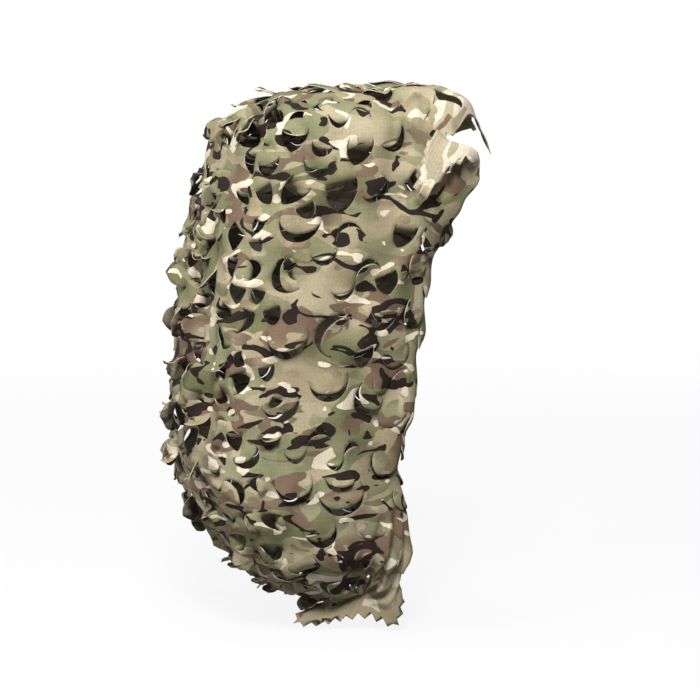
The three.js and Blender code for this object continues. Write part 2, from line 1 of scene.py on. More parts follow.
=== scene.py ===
"""Backpack camouflage net: one sheet of leaf-cut, printed ripstop, drawn over a pack.

The sheet is worked out in millimetres on two charts of half tiles, front and wall, which the CAD
solid shares, and becomes metres when its mesh is made. Every leaf cut is a line in a constrained
triangulation of its chart. The cloth is split along the cuts, each tongue is bent out of the
sheet, and the whole is given its thickness.
"""
import math

import bpy
import numpy as np
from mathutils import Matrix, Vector, noise
from mathutils.geometry import delaunay_2d_cdt


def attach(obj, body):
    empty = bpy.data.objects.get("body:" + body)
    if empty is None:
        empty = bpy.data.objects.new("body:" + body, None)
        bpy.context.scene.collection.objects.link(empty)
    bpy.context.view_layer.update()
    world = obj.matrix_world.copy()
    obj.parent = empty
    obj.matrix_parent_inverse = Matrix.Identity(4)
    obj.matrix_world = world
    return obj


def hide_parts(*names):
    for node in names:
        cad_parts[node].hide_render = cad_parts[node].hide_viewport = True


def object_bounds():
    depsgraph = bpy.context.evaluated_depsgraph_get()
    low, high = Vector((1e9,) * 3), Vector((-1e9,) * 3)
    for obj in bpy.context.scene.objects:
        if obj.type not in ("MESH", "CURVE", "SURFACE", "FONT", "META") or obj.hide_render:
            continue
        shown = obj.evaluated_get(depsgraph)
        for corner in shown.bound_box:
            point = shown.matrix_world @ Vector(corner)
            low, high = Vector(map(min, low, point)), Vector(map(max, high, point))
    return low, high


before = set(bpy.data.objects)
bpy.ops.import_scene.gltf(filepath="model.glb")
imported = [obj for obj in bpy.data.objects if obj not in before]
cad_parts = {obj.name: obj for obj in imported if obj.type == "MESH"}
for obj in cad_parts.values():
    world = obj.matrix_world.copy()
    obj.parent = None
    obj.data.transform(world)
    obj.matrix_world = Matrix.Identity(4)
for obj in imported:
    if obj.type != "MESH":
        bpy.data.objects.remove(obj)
cad_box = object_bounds()

MM = 0.001
DEGREE = math.pi / 180

# ---- The cover's form, as in the CAD model ------------------------------------------------
BODY_HEIGHT = 512
BODY_HALF_WIDTH = 148
BODY_DEPTH = 215
CORNER_RADIUS = 74
FRONT_EDGE_RADIUS = 52
WALL_PUFF = 7
FRONT_PUFF = 12
TOP_LEVEL = -5

TILES_ACROSS = 6
TILES_UP = 10
WALL_TILES = 5
MARGIN_TILES = 2
EDGE_ROWS = 2

ACROSS = 2 * TILES_ACROSS
UP = 2 * TILES_UP
AROUND = 2 * (ACROSS + UP)
WALL_STEPS = 2 * WALL_TILES
MARGIN_STEPS = 2 * MARGIN_TILES
BACK = WALL_STEPS + MARGIN_STEPS

FAR_START = ACROSS // 2
TOP_START = FAR_START + UP
NEAR_START = TOP_START + ACROSS
NEAR_END = NEAR_START + UP

FRONT, WALL = 0, 1
SIZES = {FRONT: (ACROSS, UP), WALL: (AROUND, BACK)}


def rows(names, *lines):
    """A table: the names of its columns, then its rows."""
    keys = names.split()
    return [dict(zip(keys, line)) for line in lines]


SECTIONS = rows(
    "z front back width",
    (20, -54, 122, 0.93),
    (-50, -74, 117, 0.96),
    (-108, -89, 107, 0.98),
    (-162, -99, 98, 1.0),
    (-216, -107, 88, 1.0),
    (-270, -113, 77, 1.0),
    (-324, -117, 66, 1.01),
    (-378, -116, 55, 1.01),
    (-426, -102, 52, 1.0),
    (-476, -74, 47, 0.98),
    (-536, -22, 44, 0.94),
)

# Main folds, shared with the CAD model: ridges (rise over 0) and troughs along a line.
FOLDS = rows(
    "a b spread rise",
    ((150, -28, -110), (152, 12, -400), 20, 7),
    ((150, -62, -150), (152, -40, -330), 24, -6),
    ((146, 128, -70), (150, 20, -250), 17, 9),
    ((146, 112, -150), (150, 62, -300), 20, -7),
    ((128, -50, -26), (130, 110, -30), 13, 6),
    ((150, -60, -420), (146, 50, -470), 26, 7),
    ((-60, -100, -120), (30, -125, -360), 26, 7),
    ((70, -100, -150), (95, -120, -330), 24, -6),
    ((60, -20, 0), (-40, 120, 0), 24, 5),
    ((0, -20, 4), (0, 90, 0), 95, 9),
    ((-75, 128, 0), (85, 128, -4), 44, 14),
    ((150, 48, -425), (128, 68, -545), 15, 8),
    ((152, 22, -440), (132, 38, -525), 13, -8),
    ((-90, -10, 0), (-70, 110, 0), 26, -5),
    ((-150, 60, -90), (-152, -40, -380), 24, 8),
    ((-150, 90, -240), (-150, 0, -460), 24, -6),
)

# The margin round the back opening: its length, the share of it that turns, and its headings
# halfway through the turn and at the hem (inwards, backwards, downwards).
MARGIN = rows(
    "side at length turn half hem",
    ("farBottom", 0.0, 50, 1, (0.7, 0.6, -0.1), (1, -0.1, 0)),
    ("farBottom", 0.7, 60, 1, (0.2, 0.7, 0.6), (0.2, -0.1, 1)),
    ("far", 0.04, 64, 1, (0.3, 0.6, 0.7), (0, -0.3, 1)),
    ("far", 0.18, 86, 1, (0.5, 0.9, 0), (0.9, 0.5, 0)),
    ("far", 0.78, 88, 1, (0.5, 0.9, 0), (0.9, 0.5, 0)),
    ("far", 0.92, 78, 1, (0.3, 0.8, 0.5), (0.3, 0.3, 1)),
    ("top", 0.1, 70, 1, (0.1, 1, 0.3), (0, 0.1, 1)),
    ("top", 0.45, 78, 1, (0, 1, 0.1), (0, 0.5, 0.8)),
    ("top", 0.9, 80, 1, (0, 1, 0.1), (0, 0.5, 0.8)),
    ("near", 0.2, 60, 1, (0.5, 0.8, 0), (0.9, 0.2, -0.1)),
    ("near", 0.3, 78, 0.5, (1, 0.2, 0), (1, -0.15, 0)),
    ("near", 0.74, 84, 0.5, (1, 0.2, 0), (1, -0.15, 0)),
    ("near", 0.84, 56, 1, (0.7, 0.5, 0.4), (0.7, -0.4, 0.6)),
    ("nearBottom", 0.0, 72, 0.7, (0, 0.4, 0.9), (0, -0.3, 0.9)),
    ("nearBottom", 0.85, 50, 1, (0.6, 0.7, 0.1), (1, -0.2, 0.1)),
)


# Where the sheet's loose corners lie, by station: the margin runs from the wall's back edge to a
# fold and from there to the hem.
LOOSE = {
    "corner": rows(
        "station fold_x fold_y fold_z hem_x hem_y hem_z",
        (33.0, 21, 160, -6, 21, 176, -18),
        (34.0, 41, 165, -7, 41, 182, -22),
        (34.8, 57, 169, -8, 57, 190, -48),
        (35.3, 67, 167, -8, 67, 192, -56),
        (35.8, 79, 159, -8, 79, 176, -30),
        (36.4, 98, 143, -8, 106, 153, -20),
        (37.0, 120, 131, -18, 131, 134, -33),
        (37.5, 137, 119, -27, 154, 116, -43),
        (37.7, 146, 108, -32, 159, 92, -44),
        (38.0, 152, 110, -37, 164, 81, -67),
        (38.3, 156, 115, -41, 168, 74, -90),
        (38.7, 159, 119, -42, 170, 78, -104),
        (39.2, 161, 123, -43, 171, 99, -100),
        (39.7, 161, 131, -45, 170, 113, -79),
        (40.1, 160, 141, -50, 166, 131, -66),
        (40.6, 155, 155, -62, 152, 142, -68),
        (41.1, 151, 159, -80, 139, 140, -80),
        (41.7, 148, 149, -96, 131, 131, -96),
        (42.3, 146, 131, -113, 124, 122, -114),
        (43.2, 144, 119, -140, 120, 117, -140),
    ),
    "tail": rows(
        "station fold_x fold_y fold_z hem_x hem_y hem_z",
        (56.0, 140, 66, -468, 124, 72, -480),
        (56.8, 137, 66, -488, 127, 74, -502),
        (57.5, 133, 66, -500, 126, 80, -524),
        (58.1, 127, 62, -508, 121, 75, -548),
        (58.7, 115, 54, -514, 114, 62, -547),
        (59.3, 104, 46, -522, 105, 42, -542),
        (59.9, 93, 30, -530, 95, 6, -548),
        (60.4, 85, 16, -536, 86, -22, -552),
        (60.8, 79, 14, -535, 82, -30, -541),
        (61.2, 72, 20, -532, 75, -10, -537),
        (61.7, 60, 32, -528, 62, 16, -533),
        (62.3, 42, 46, -524, 42, 42, -528),
    ),
}
LOOSE_EASE = 0.7      # stations over which a loose corner passes into the plain margin
FOLD_WIDTH = 0.2      # how softly the cloth turns at a fold, as a share of the way to it


# ---- Mapping from the charts to the body --------------------------------------------------
def chance(column, row, purpose):
    """A repeatable number from 0 to 1 for each tile and purpose."""
    mixed = math.sin(column * 127.1 + row * 311.7 + purpose * 74.7) * 43758.5453
    return mixed - math.floor(mixed)


def smooth_column(table, key, column, at):
    """A table's column at a key, on a smooth curve through its rows."""
    keys = np.array([row[key] for row in table], float)
    values = np.array([row[column] for row in table], float)
    at = np.asarray(at, float)
    if keys[0] > keys[-1]:
        keys, at = -keys, -at
    last = len(keys) - 1
    before = np.maximum(np.arange(last + 1) - 1, 0)
    after = np.minimum(np.arange(last + 1) + 1, last)
    slopes = (values[after] - values[before]) / (keys[after] - keys[before])
    i = np.clip(np.searchsorted(keys, at, side="right") - 1, 0, last - 1)
    span = keys[i + 1] - keys[i]
    t = np.clip((at - keys[i]) / span, 0, 1)
    p, q, m, n = values[i], values[i + 1], slopes[i] * span, slopes[i + 1] * span
    return p + t * (m + t * (3 * (q - p) - 2 * m - n + t * (2 * (p - q) + m + n)))


ARC = math.pi / 2 * CORNER_RADIUS
STRAIGHT_ACROSS = 2 * (BODY_HALF_WIDTH - CORNER_RADIUS)
STRAIGHT_UP = BODY_HEIGHT - 2 * CORNER_RADIUS
HALF_BOTTOM = (STRAIGHT_ACROSS + ARC) / 2
SIDE_LENGTH = STRAIGHT_UP + ARC
STATION_MARKS = [0, FAR_START, TOP_START, NEAR_START, NEAR_END, AROUND]
LENGTH_MARKS = [
    0,
    HALF_BOTTOM,
    HALF_BOTTOM + SIDE_LENGTH,
    3 * HALF_BOTTOM + SIDE_LENGTH,
    3 * HALF_BOTTOM + 2 * SIDE_LENGTH,
    4 * HALF_BOTTOM + 2 * SIDE_LENGTH,
]


def arc_way(heading, turned):
    """How far an arc of the outline goes along and up, between two headings."""
    return (
        CORNER_RADIUS * (np.sin(turned) - np.sin(heading)),
        CORNER_RADIUS * (np.cos(heading) - np.cos(turned)),
    )


def outline_legs():
    """The outline's straights and corners: where each starts, its heading and its bend."""
    left, z, heading, gone, legs = 0.0, TOP_LEVEL - BODY_HEIGHT, 0.0, 0.0, []
    half = STRAIGHT_ACROSS / 2
    lengths = [half, None, STRAIGHT_UP, None, STRAIGHT_ACROSS, None, STRAIGHT_UP, None, half]
    for length in lengths:
        legs.append((gone, left, z, heading, 0 if length else 1 / CORNER_RADIUS))
        if length:
            left += length * math.cos(heading)
            z += length * math.sin(heading)
        else:
            length = ARC
            turned = heading + math.pi / 2
            along, rise = arc_way(heading, turned)
            left, z, heading = left + along, z + rise, turned
        gone += length
    return np.array(legs)


OUTLINE_LEGS = outline_legs()


def outline(station):
    """The outline's x, z and outward x, z at stations."""
    length = np.interp(np.mod(station, AROUND), STATION_MARKS, LENGTH_MARKS)
    leg = np.clip(np.searchsorted(OUTLINE_LEGS[:, 0], length, side="right") - 1, 0, None)
    start, left, z, heading, bend = OUTLINE_LEGS[leg].T
    gone = length - start
    turned = heading + bend * gone
    straight = gone * np.cos(heading), gone * np.sin(heading)
    along, rise = np.where(bend > 0, arc_way(heading, turned), straight)
    return -(left + along), z + rise, -np.sin(turned), -np.cos(turned)


def body_point(x, z, depth):
    """A point given by its place across and up, and its depth behind the front plane."""
    front = smooth_column(SECTIONS, "z", "front", z)
    back = smooth_column(SECTIONS, "z", "back", z)
    share = depth / BODY_DEPTH
    puff = FRONT_PUFF * (1 - (x / BODY_HALF_WIDTH) ** 2) * (1 - share)
    wide = x * smooth_column(SECTIONS, "z", "width", z)
    return np.stack([wide, front + share * (back - front) - puff, z], axis=-1)


EDGE_ARC = math.pi / 2 * FRONT_EDGE_RADIUS
WALL_LENGTH = EDGE_ARC + BODY_DEPTH - FRONT_EDGE_RADIUS


def wall_point(station, step):
    """Round the front edge first, then straight back with a slight bulge."""
    x, z, out_x, out_z = outline(station)
    along = np.minimum(step, WALL_STEPS) / WALL_STEPS * WALL_LENGTH
    turned = np.minimum(along / FRONT_EDGE_RADIUS, math.pi / 2)
    inset = FRONT_EDGE_RADIUS * (1 - np.sin(turned))
    straight = np.maximum(along - EDGE_ARC, 0)
    depth = FRONT_EDGE_RADIUS * (1 - np.cos(turned)) + straight
    puff = WALL_PUFF * np.sin(math.pi * straight / (BODY_DEPTH - FRONT_EDGE_RADIUS))
    return body_point(x + out_x * (puff - inset), z + out_z * (puff - inset), depth)


SIDES = {
    "farBottom": (0, FAR_START),
    "far": (FAR_START, UP),
    "top": (TOP_START, ACROSS),
    "near": (NEAR_START, UP),
    "nearBottom": (NEAR_END, AROUND - NEAR_END),
}


def margin_table():
    """The margin's rows as stations and numbers, closed on themselves."""
    lines = []
    for row in MARGIN:
        start, length = SIDES[row["side"]]
        lines.append(
            [start + row["at"] * length, row["length"], row["turn"], *row["half"], *row["hem"]]
        )
    lines.append([AROUND, *lines[0][1:]])
    return np.array(lines, float)


MARGIN_AT = margin_table()
MARGIN_STRIDES = 24


def margin_values(station):
    """The margin's length, turn and headings at stations, eased from row to row."""
    at = np.mod(station, AROUND)
    i = np.clip(np.searchsorted(MARGIN_AT[:, 0], at, side="right") - 1, 0, len(MARGIN_AT) - 2)
    t = (at - MARGIN_AT[i, 0]) / (MARGIN_AT[i + 1, 0] - MARGIN_AT[i, 0])
    t = eased(t)[..., None]
    return MARGIN_AT[i, 1:] + t * (MARGIN_AT[i + 1, 1:] - MARGIN_AT[i, 1:])


def eased(share):
    return share * share * (3 - 2 * share)


def unit(vectors):
    return vectors / np.maximum(np.linalg.norm(vectors, axis=-1, keepdims=True), 1e-9)


def loose_point(table, station, step, edge):
    """A loose corner's point, on the way from the wall's back edge to the fold and the hem."""

    def spot(place):
        columns = (f"{place}_{axis}" for axis in "xyz")
        return np.stack([smooth_column(table, "station", name, station) for name in columns], -1)

    def past(way):
        return way + np.sqrt(way * way + FOLD_WIDTH**2)

    way = 2 * (step - WALL_STEPS) / MARGIN_STEPS - 1
    second = ((past(way) - past(-1)) / (past(1) - past(-1)))[..., None]
    first = way[..., None] + 1 - second
    fold, hem = spot("fold"), spot("hem")
    return edge + first * (fold - edge) + second * (hem - fold)


def margin_point(station, step):
    """The margin: walked along its headings, with the loose corners as they lie."""
    edge = wall_point(station, np.full_like(station, WALL_STEPS))
    point = walked_margin(station, step, edge)
    at = np.mod(station, AROUND)
    for table in LOOSE.values():
        inside = np.minimum(at - table[0]["station"], table[-1]["station"] - at)
        share = eased(np.clip(inside / LOOSE_EASE, 0, 1))[..., None]
        point = point + share * (loose_point(table, at, step, edge) - point)
    return point


def walked_margin(station, step, edge):
    """The plain margin, walked from the wall's back edge along its changing heading."""
    _, _, out_x, out_z = outline(station)
    values = margin_values(station)
    zero = np.zeros_like(out_x)
    ways = np.stack(
        [
            np.stack([-out_x, zero, -out_z], -1),
            np.stack([zero, zero + 1, zero], -1),
            np.stack([zero, zero, zero - 1], -1),
        ],
        -2,
    )
    start = ways[..., 1, :]
    middle = unit(np.einsum("...k,...kx->...x", values[..., 2:5], ways))
    end = unit(np.einsum("...k,...kx->...x", values[..., 5:8], ways))
    stride = ((step - WALL_STEPS) / MARGIN_STEPS / MARGIN_STRIDES)[..., None]
    point = edge
    for k in range(MARGIN_STRIDES):
        t = np.minimum((k + 0.5) * stride / values[..., 1:2], 1)
        way = unit(start * (1 - t) ** 2 + middle * 2 * t * (1 - t) + end * t * t)
        point = point + way * stride * values[..., 0:1]
    return point


def front_place(u, v):
    """The front is a blend of its four borders, which are the wall chart's first ring."""
    s, t = u / ACROSS, v / UP

    def ring(station):
        x, z, out_x, out_z = outline(station)
        return np.stack([x - out_x * FRONT_EDGE_RADIUS, z - out_z * FRONT_EDGE_RADIUS], -1)

    s, t = s[..., None], t[..., None]
    zero = np.zeros_like(u)
    sides = (1 - t) * ring(FAR_START - u) + t * ring(TOP_START + u)
    sides = sides + (1 - s) * ring(FAR_START + v) + s * ring(NEAR_END - v)
    corners = (1 - s) * (1 - t) * ring(zero + FAR_START) + s * (1 - t) * ring(zero + NEAR_END)
    corners = corners + (1 - s) * t * ring(zero + TOP_START) + s * t * ring(zero + NEAR_START)
    return sides - corners


def smooth_point(chart, u, v):
    """Points of the cover without its folds."""
    u, v = np.asarray(u, float), np.asarray(v, float)
    if chart == FRONT:
        place = front_place(u, v)
        return body_point(place[..., 0], place[..., 1], np.zeros_like(u))
    inside = v <= WALL_STEPS
    point = wall_point(u, v)
    if not inside.all():
        point[~inside] = margin_point(u[~inside], v[~inside])
    return point


PROBE = 0.05


def tangents(chart, u, v):
    """The chart's two ways at points, in millimetres for each chart unit."""
    u, v = np.asarray(u, float), np.asarray(v, float)
    top_u, top_v = SIZES[chart]
    u0, u1 = u - PROBE, u + PROBE
    v0, v1 = np.maximum(v - PROBE, 0), np.minimum(v + PROBE, top_v)
    if chart == FRONT:
        u0, u1 = np.maximum(u0, 0), np.minimum(u1, top_u)
    along_u = (smooth_point(chart, u1, v) - smooth_point(chart, u0, v)) / (u1 - u0)[..., None]
    along_v = (smooth_point(chart, u, v1) - smooth_point(chart, u, v0)) / (v1 - v0)[..., None]
    return along_u, along_v


def fold_rise(points):
    """How far the main folds raise the cloth."""
    rise = np.zeros(len(points))
    for fold in FOLDS:
        a, b = np.array(fold["a"], float), np.array(fold["b"], float)
        share = np.clip((points - a) @ (b - a) / ((b - a) @ (b - a)), 0, 1)
        away = np.linalg.norm(points - a - share[:, None] * (b - a), axis=1) / fold["spread"]
        rise += fold["rise"] * np.exp(-away * away)
    return rise


# ---- Leaf cuts ----------------------------------------------------------------------------
# Kinds of leaf: a tongue's width and length, how pointed it is, the lift at its root and at its
# tip in degrees (under 0 it is tucked in behind the sheet), how much it cups across, and how far
# its tip has drawn back from the cut.
KINDS = {
    "open": dict(width=31, length=27, point=0.6, root=24, tip=96, cup=0.07, gap=0),
    "wide": dict(width=38, length=29, point=0.15, root=10, tip=62, cup=0.10, gap=5),
    "crescent": dict(width=40, length=29, point=0.0, root=3, tip=26, cup=0.05, gap=8),
    "tucked": dict(width=28, length=28, point=0.4, root=-45, tip=-140, cup=0.08, gap=0),
    "wave": dict(width=26, length=17, point=0.0, root=4, tip=30, cup=0.05, gap=5),
}

# Cuts placed one by one on the near side: where they are back and up, their kind and size, and how
# far the tongue's way is turned from straight down, towards the front.
NEAR_CUTS = rows(
    "y z kind size turn",
    (-40, -92, "tucked", 0.95, -35),
    (-58, -117, "tucked", 0.62, 150),
    (8, -96, "tucked", 1.15, 12),
    (28, -52, "tucked", 0.95, -10),
    (44, -92, "wide", 0.72, 55),
    (-14, -70, "crescent", 0.95, 0),
    (-36, -128, "crescent", 1.05, 0),
    (0, -148, "wave", 1.05, 200),
    (72, -138, "tucked", 0.80, -12),
    (88, -172, "crescent", 0.75, -20),
    (-52, -180, "crescent", 0.9, -70),
    (18, -182, "wave", 1.0, 20),
    (52, -186, "tucked", 0.8, 25),
    (44, -214, "wide", 0.95, 40),
    (84, -218, "wide", 0.8, -30),
    (-48, -246, "wide", 1.05, 8),
    (-4, -238, "crescent", 1.1, -120),
    (28, -262, "tucked", 0.75, 20),
    (66, -262, "crescent", 0.8, 30),
    (-6, -290, "crescent", 0.95, 15),
    (34, -306, "wide", 0.9, -35),
    (-54, -312, "crescent", 0.9, 20),
    (62, -322, "crescent", 1.0, 40),
    (-30, -352, "wave", 0.9, 10),
    (14, -352, "crescent", 1.1, 25),
    (50, -372, "wide", 0.8, -10),
    (-44, -392, "wide", 1.0, 6),
    (4, -404, "crescent", 1.15, 12),
    (-16, -440, "crescent", 1.0, 18),
    (34, -428, "wave", 0.9, -20),
    (24, -478, "tucked", 0.9, 5),
    (-28, -478, "crescent", 0.8, 25),
)

# Cuts placed one by one round the loose top corner, by station and step.
CORNER_CUTS = rows(
    "station step kind size turn",
    (36.6, 11.4, "tucked", 0.9, 200),
    (37.5, 8.7, "open", 0.95, 150),
    (35.9, 7.4, "wide", 0.8, 20),
    (38.9, 7.5, "wide", 0.8, 60),
    (40.6, 8.9, "tucked", 0.7, -30),
    (41.9, 8.1, "wide", 0.8, 20),
)

# Stretches that the lattice's cuts are left out of, from a step back.
BARE = rows(
    "first last step",
    (36.4, 42.6, 6.6),
    (34.0, 36.5, 9.6),
    (56.6, 62.4, 9.6),
)

# On each part: the share of the CAD model's tiles with an open leaf, how far its tip stands out,
# and the shares of the kinds of leaf between them.
PART_RULES = {
    "front": dict(share=0.55, tip=92, kinds=dict(open=0.35, tucked=0.35, wide=0.2, crescent=0.1)),
    "edge": dict(share=0.36, tip=84, kinds=dict(open=0.25, tucked=0.5, wide=0.15, crescent=0.1)),
    "near": dict(share=0.34, tip=58, kinds=dict(crescent=0.6, wave=0.15, wide=0.25)),
    "top": dict(share=0.25, tip=26, kinds=dict(crescent=0.5, wide=0.3, tucked=0.2)),
    "far": dict(share=0.2, tip=46, kinds=dict(crescent=0.6, wide=0.3, wave=0.1)),
    "bottom": dict(share=0.1, tip=60, kinds=dict(crescent=0.5, wide=0.3, open=0.2)),
    "margin": dict(share=0.12, tip=40, kinds=dict(crescent=0.7, wide=0.3)),
}
LEAF_TWIST = 40       # degrees that a tile's leaf may be turned by, from end to end
BETWEEN_TWIST = 70    # and a smaller leaf's
CALM_STEP = 9.0       # the near side's leaves lie flatter from here back
FAR_CALM_STEP = 1.5   # and the far side's from here
TOP_CALM_STEP = 7.0   # and the top's
HIGH_ROW = 11.5       # the front's stand out less from here up
HIGH_STATION = 17.5   # and the far side's
CUT_STEP = 2.6        # spacing of points along a cut
CLEAR_BORDER = 0.3    # chart units that a cut keeps from its chart's border
CLEAR_CUT = 5.0       # least distance between two cuts
TONGUE_SPAN = 112 * DEGREE   # how far a tongue's edge runs round, each way from its tip
TONGUE_SHIFT = 0.45   # how far its root lies behind its place, as a share of its length
TIP_REACH = 0.22      # how far the most pointed tip reaches past a round one
TIP_SPREAD = 0.9      # radians over which it does so


def tongue_outline(width, length, point):
    """A tongue's cut edge from one end of its root to the other, as places across and along."""
    count = max(int(round((width + 2 * length) / CUT_STEP)), 9)
    turn = np.linspace(-TONGUE_SPAN, TONGUE_SPAN, count)
    across = width / 2 * np.sin(turn)
    along = (np.cos(turn) - math.cos(TONGUE_SPAN)) / (1 - math.cos(TONGUE_SPAN))
    along = along + point * TIP_REACH * np.maximum(1 - np.abs(turn) / TIP_SPREAD, 0) ** 1.5
    return np.stack([across, along * length], -1)


def wave_outline(width, length):
    """An S-shaped cut: one tongue pointing along and one pointing back, side by side."""
    count = max(int(round(2.3 * length / CUT_STEP)), 8)
    turn = np.linspace(0, math.pi, count)
    return [
        np.stack([-sign * width / 2 - width / 2 * np.cos(turn), sign * length * np.sin(turn)], -1)
        for sign in (1, -1)
    ]


def part_of(chart, u):
    """The part of the cover that a place is on, and the chart way that its leaves point."""
    if chart == FRONT:
        return "front", (0, -1)
    at = u % AROUND
    if at < FAR_START or at > NEAR_END:
        return "bottom", (0, -1)
    if at <= TOP_START:
        return "far", (-1, 0)
    if at < NEAR_START:
        return "top", (0, -1)
    return "near", (1, 0)


def leaf_part(chart, side, v):
    """Which of the leaf rules holds at a place."""
    if chart == WALL and v < 2 * EDGE_ROWS:
        return "edge"
    return "margin" if chart == WALL and v > WALL_STEPS else side


def kept_bare(chart, u, v):
    return chart == WALL and any(r["first"] < u < r["last"] and v > r["step"] for r in BARE)


def pick_kind(part, draw):
    for kind, share in PART_RULES[part]["kinds"].items():
        draw -= share
        if draw < 0:
            return kind
    return kind


def leaf_way(part, column, row, way):
    """On the front and its edges some leaves point sideways instead of down."""
    if part not in ("front", "edge"):
        return way
    draw = chance(column, row, 43)
    across = (-way[1], way[0])
    if draw < 0.5:
        return way
    return across if draw < 0.75 else (-across[0], -across[1])


def openness(chart, u, v):
    """The shares of their lift and of their gap that the flatter leaves have at a place."""
    if chart == FRONT:
        return (0.7, 1) if v > HIGH_ROW else (1, 1)
    side = part_of(chart, u)[0]
    if v > WALL_STEPS:
        return 0.3, 0
    if side == "top" and v > TOP_CALM_STEP:
        return 0.4, 0.5
    if side == "far" and u <= HIGH_STATION:
        return (0.6, 0.6) if v < FAR_CALM_STEP else (0.4, 0)
    if side == "far":
        return 0.3, 0
    return (0.3, 0) if side == "near" and v > CALM_STEP else (1, 1)


def wanted(chart, u, v, way, kind, size, twist, tip=None):
    """A leaf that may be cut: where, its way in the chart, and what it is like."""
    if kind == "tucked" and chart == WALL and part_of(chart, u)[0] == "far":
        kind = "crescent"
    shape = dict(KINDS[kind])
    lift, gap = openness(chart, u, v)
    if tip:
        tip *= lift
        shape.update(tip=tip, root=tip * 0.27)
    elif kind in ("wide", "crescent", "wave"):
        shape.update(tip=shape["tip"] * lift, gap=shape["gap"] * gap)
    turned = math.atan2(way[1], way[0]) + twist * DEGREE
    tongue = np.array([math.cos(turned), math.sin(turned)])
    return dict(
        chart=chart, kind=kind, shape=shape, size=size, tongue=tongue,
        place=np.array([u, v], float), across=np.array([-tongue[1], tongue[0]]),
    )


def add_frames(leaves):
    """Gives each leaf its point, its ways and its scale on the smooth surface."""
    for chart in (FRONT, WALL):
        own = [leaf for leaf in leaves if leaf["chart"] == chart]
        u, v = np.array([leaf["place"] for leaf in own]).T
        along_u, along_v = tangents(chart, u, v)
        centres = smooth_point(chart, u, v)
        for leaf, centre, way_u, way_v in zip(own, centres, along_u, along_v):
            leaf["centre"] = centre
            leaf["scale"] = np.array([np.linalg.norm(way_u), np.linalg.norm(way_v)])
            leaf["unit_u"], leaf["unit_v"] = unit(way_u), unit(way_v)
            leaf["normal"] = unit(np.cross(way_u, way_v))
            leaf["way"] = leaf["tongue"][0] * leaf["unit_u"] + leaf["tongue"][1] * leaf["unit_v"]


def make_cut(leaf, smaller):
    """A leaf's cut line and flaps, at its size times a share."""
    shape, size = leaf["shape"], leaf["size"] * smaller
    width, length = shape["width"] * size, shape["length"] * size

    def to_chart(places):
        flat = places[:, :1] * leaf["across"] + places[:, 1:] * leaf["tongue"]
        return flat / leaf["scale"] + leaf["place"]

    if leaf["kind"] == "wave":
        lines = [to_chart(places) for places in wave_outline(width, length)]
        line = np.concatenate([lines[0], lines[1][1:]])
        own = [dict(polygon=lines[0], sign=1), dict(polygon=lines[1], sign=-1)]
        flaps = [dict(flap, root=(-flap["sign"] * width / 2, 0)) for flap in own]
    else:
        places = tongue_outline(width, length, shape["point"])
        places[:, 1] -= length * TONGUE_SHIFT
        line = to_chart(places)
        flaps = [dict(polygon=line, sign=1, root=(0, places[0, 1]))]
    flaps = [dict(flap, width=width, length=length) for flap in flaps]
    reach = max(width * (1 if leaf["kind"] == "wave" else 0.5), length * 0.6)
    return dict(leaf, line=line, flaps=flaps, reach=reach)


def inside_chart(cut):
    low, high = cut["line"].min(0), cut["line"].max(0)
    room = np.array(SIZES[cut["chart"]]) - high
    return min(low) > CLEAR_BORDER and min(room) > CLEAR_BORDER


def clear_of(cut, others):
    """Whether a cut keeps its distance from the others."""
    if not others:
        return True
    centres = np.array([other["centre"] for other in others])
    reaches = np.array([other["reach"] for other in others])
    apart = np.linalg.norm(centres - cut["centre"], axis=1)
    for near in np.flatnonzero(apart < reaches + cut["reach"] + 2 * CLEAR_CUT):
        other = others[near]
        if other["chart"] != cut["chart"]:
            continue
        gaps = (cut["line"][:, None] - other["line"][None]) * cut["scale"]
        if np.linalg.norm(gaps, axis=-1).min() < CLEAR_CUT:
            return False
        for inner, outer in ((cut, other), (other, cut)):
            for flap in outer["flaps"]:
                if in_polygon(inner["line"][:1], flap["polygon"]).any():
                    return False
    return True


def in_polygon(points, polygon):
    """Which points lie inside a polygon."""
    inside = np.zeros(len(points), bool)
    x, y = points.T
    previous = polygon[-1]
    for corner in polygon:
        if corner[1] != previous[1]:
            crosses = (corner[1] > y) != (previous[1] > y)
            at = (previous[0] - corner[0]) * (y - corner[1]) / (previous[1] - corner[1])
            inside ^= crosses & (x < at + corner[0])
        previous = corner
    return inside


def near_place(y, z):
    """The wall chart's place of a point on the near side, by its place back and up."""
    stations = np.linspace(NEAR_START, NEAR_END, 161)
    steps = np.linspace(0, WALL_STEPS, 81)
    u, v = np.meshgrid(stations, steps, indexing="ij")
    points = wall_point(u.ravel(), v.ravel())
    best = np.argmin((points[:, 1] - y) ** 2 + (points[:, 2] - z) ** 2)
    return u.ravel()[best], v.ravel()[best]


def placed_leaves():
    """The leaves placed one by one: the near side's and the loose corner's."""
    leaves = []
    for row in NEAR_CUTS:
        u, v = near_place(row["y"], row["z"])
        leaves.append(wanted(WALL, u, v, (1, 0), row["kind"], row["size"], row["turn"]))
    for row in CORNER_CUTS:
        place = (row["station"], row["step"])
        leaves.append(wanted(WALL, *place, (1, 0), row["kind"], row["size"], row["turn"]))
    return leaves


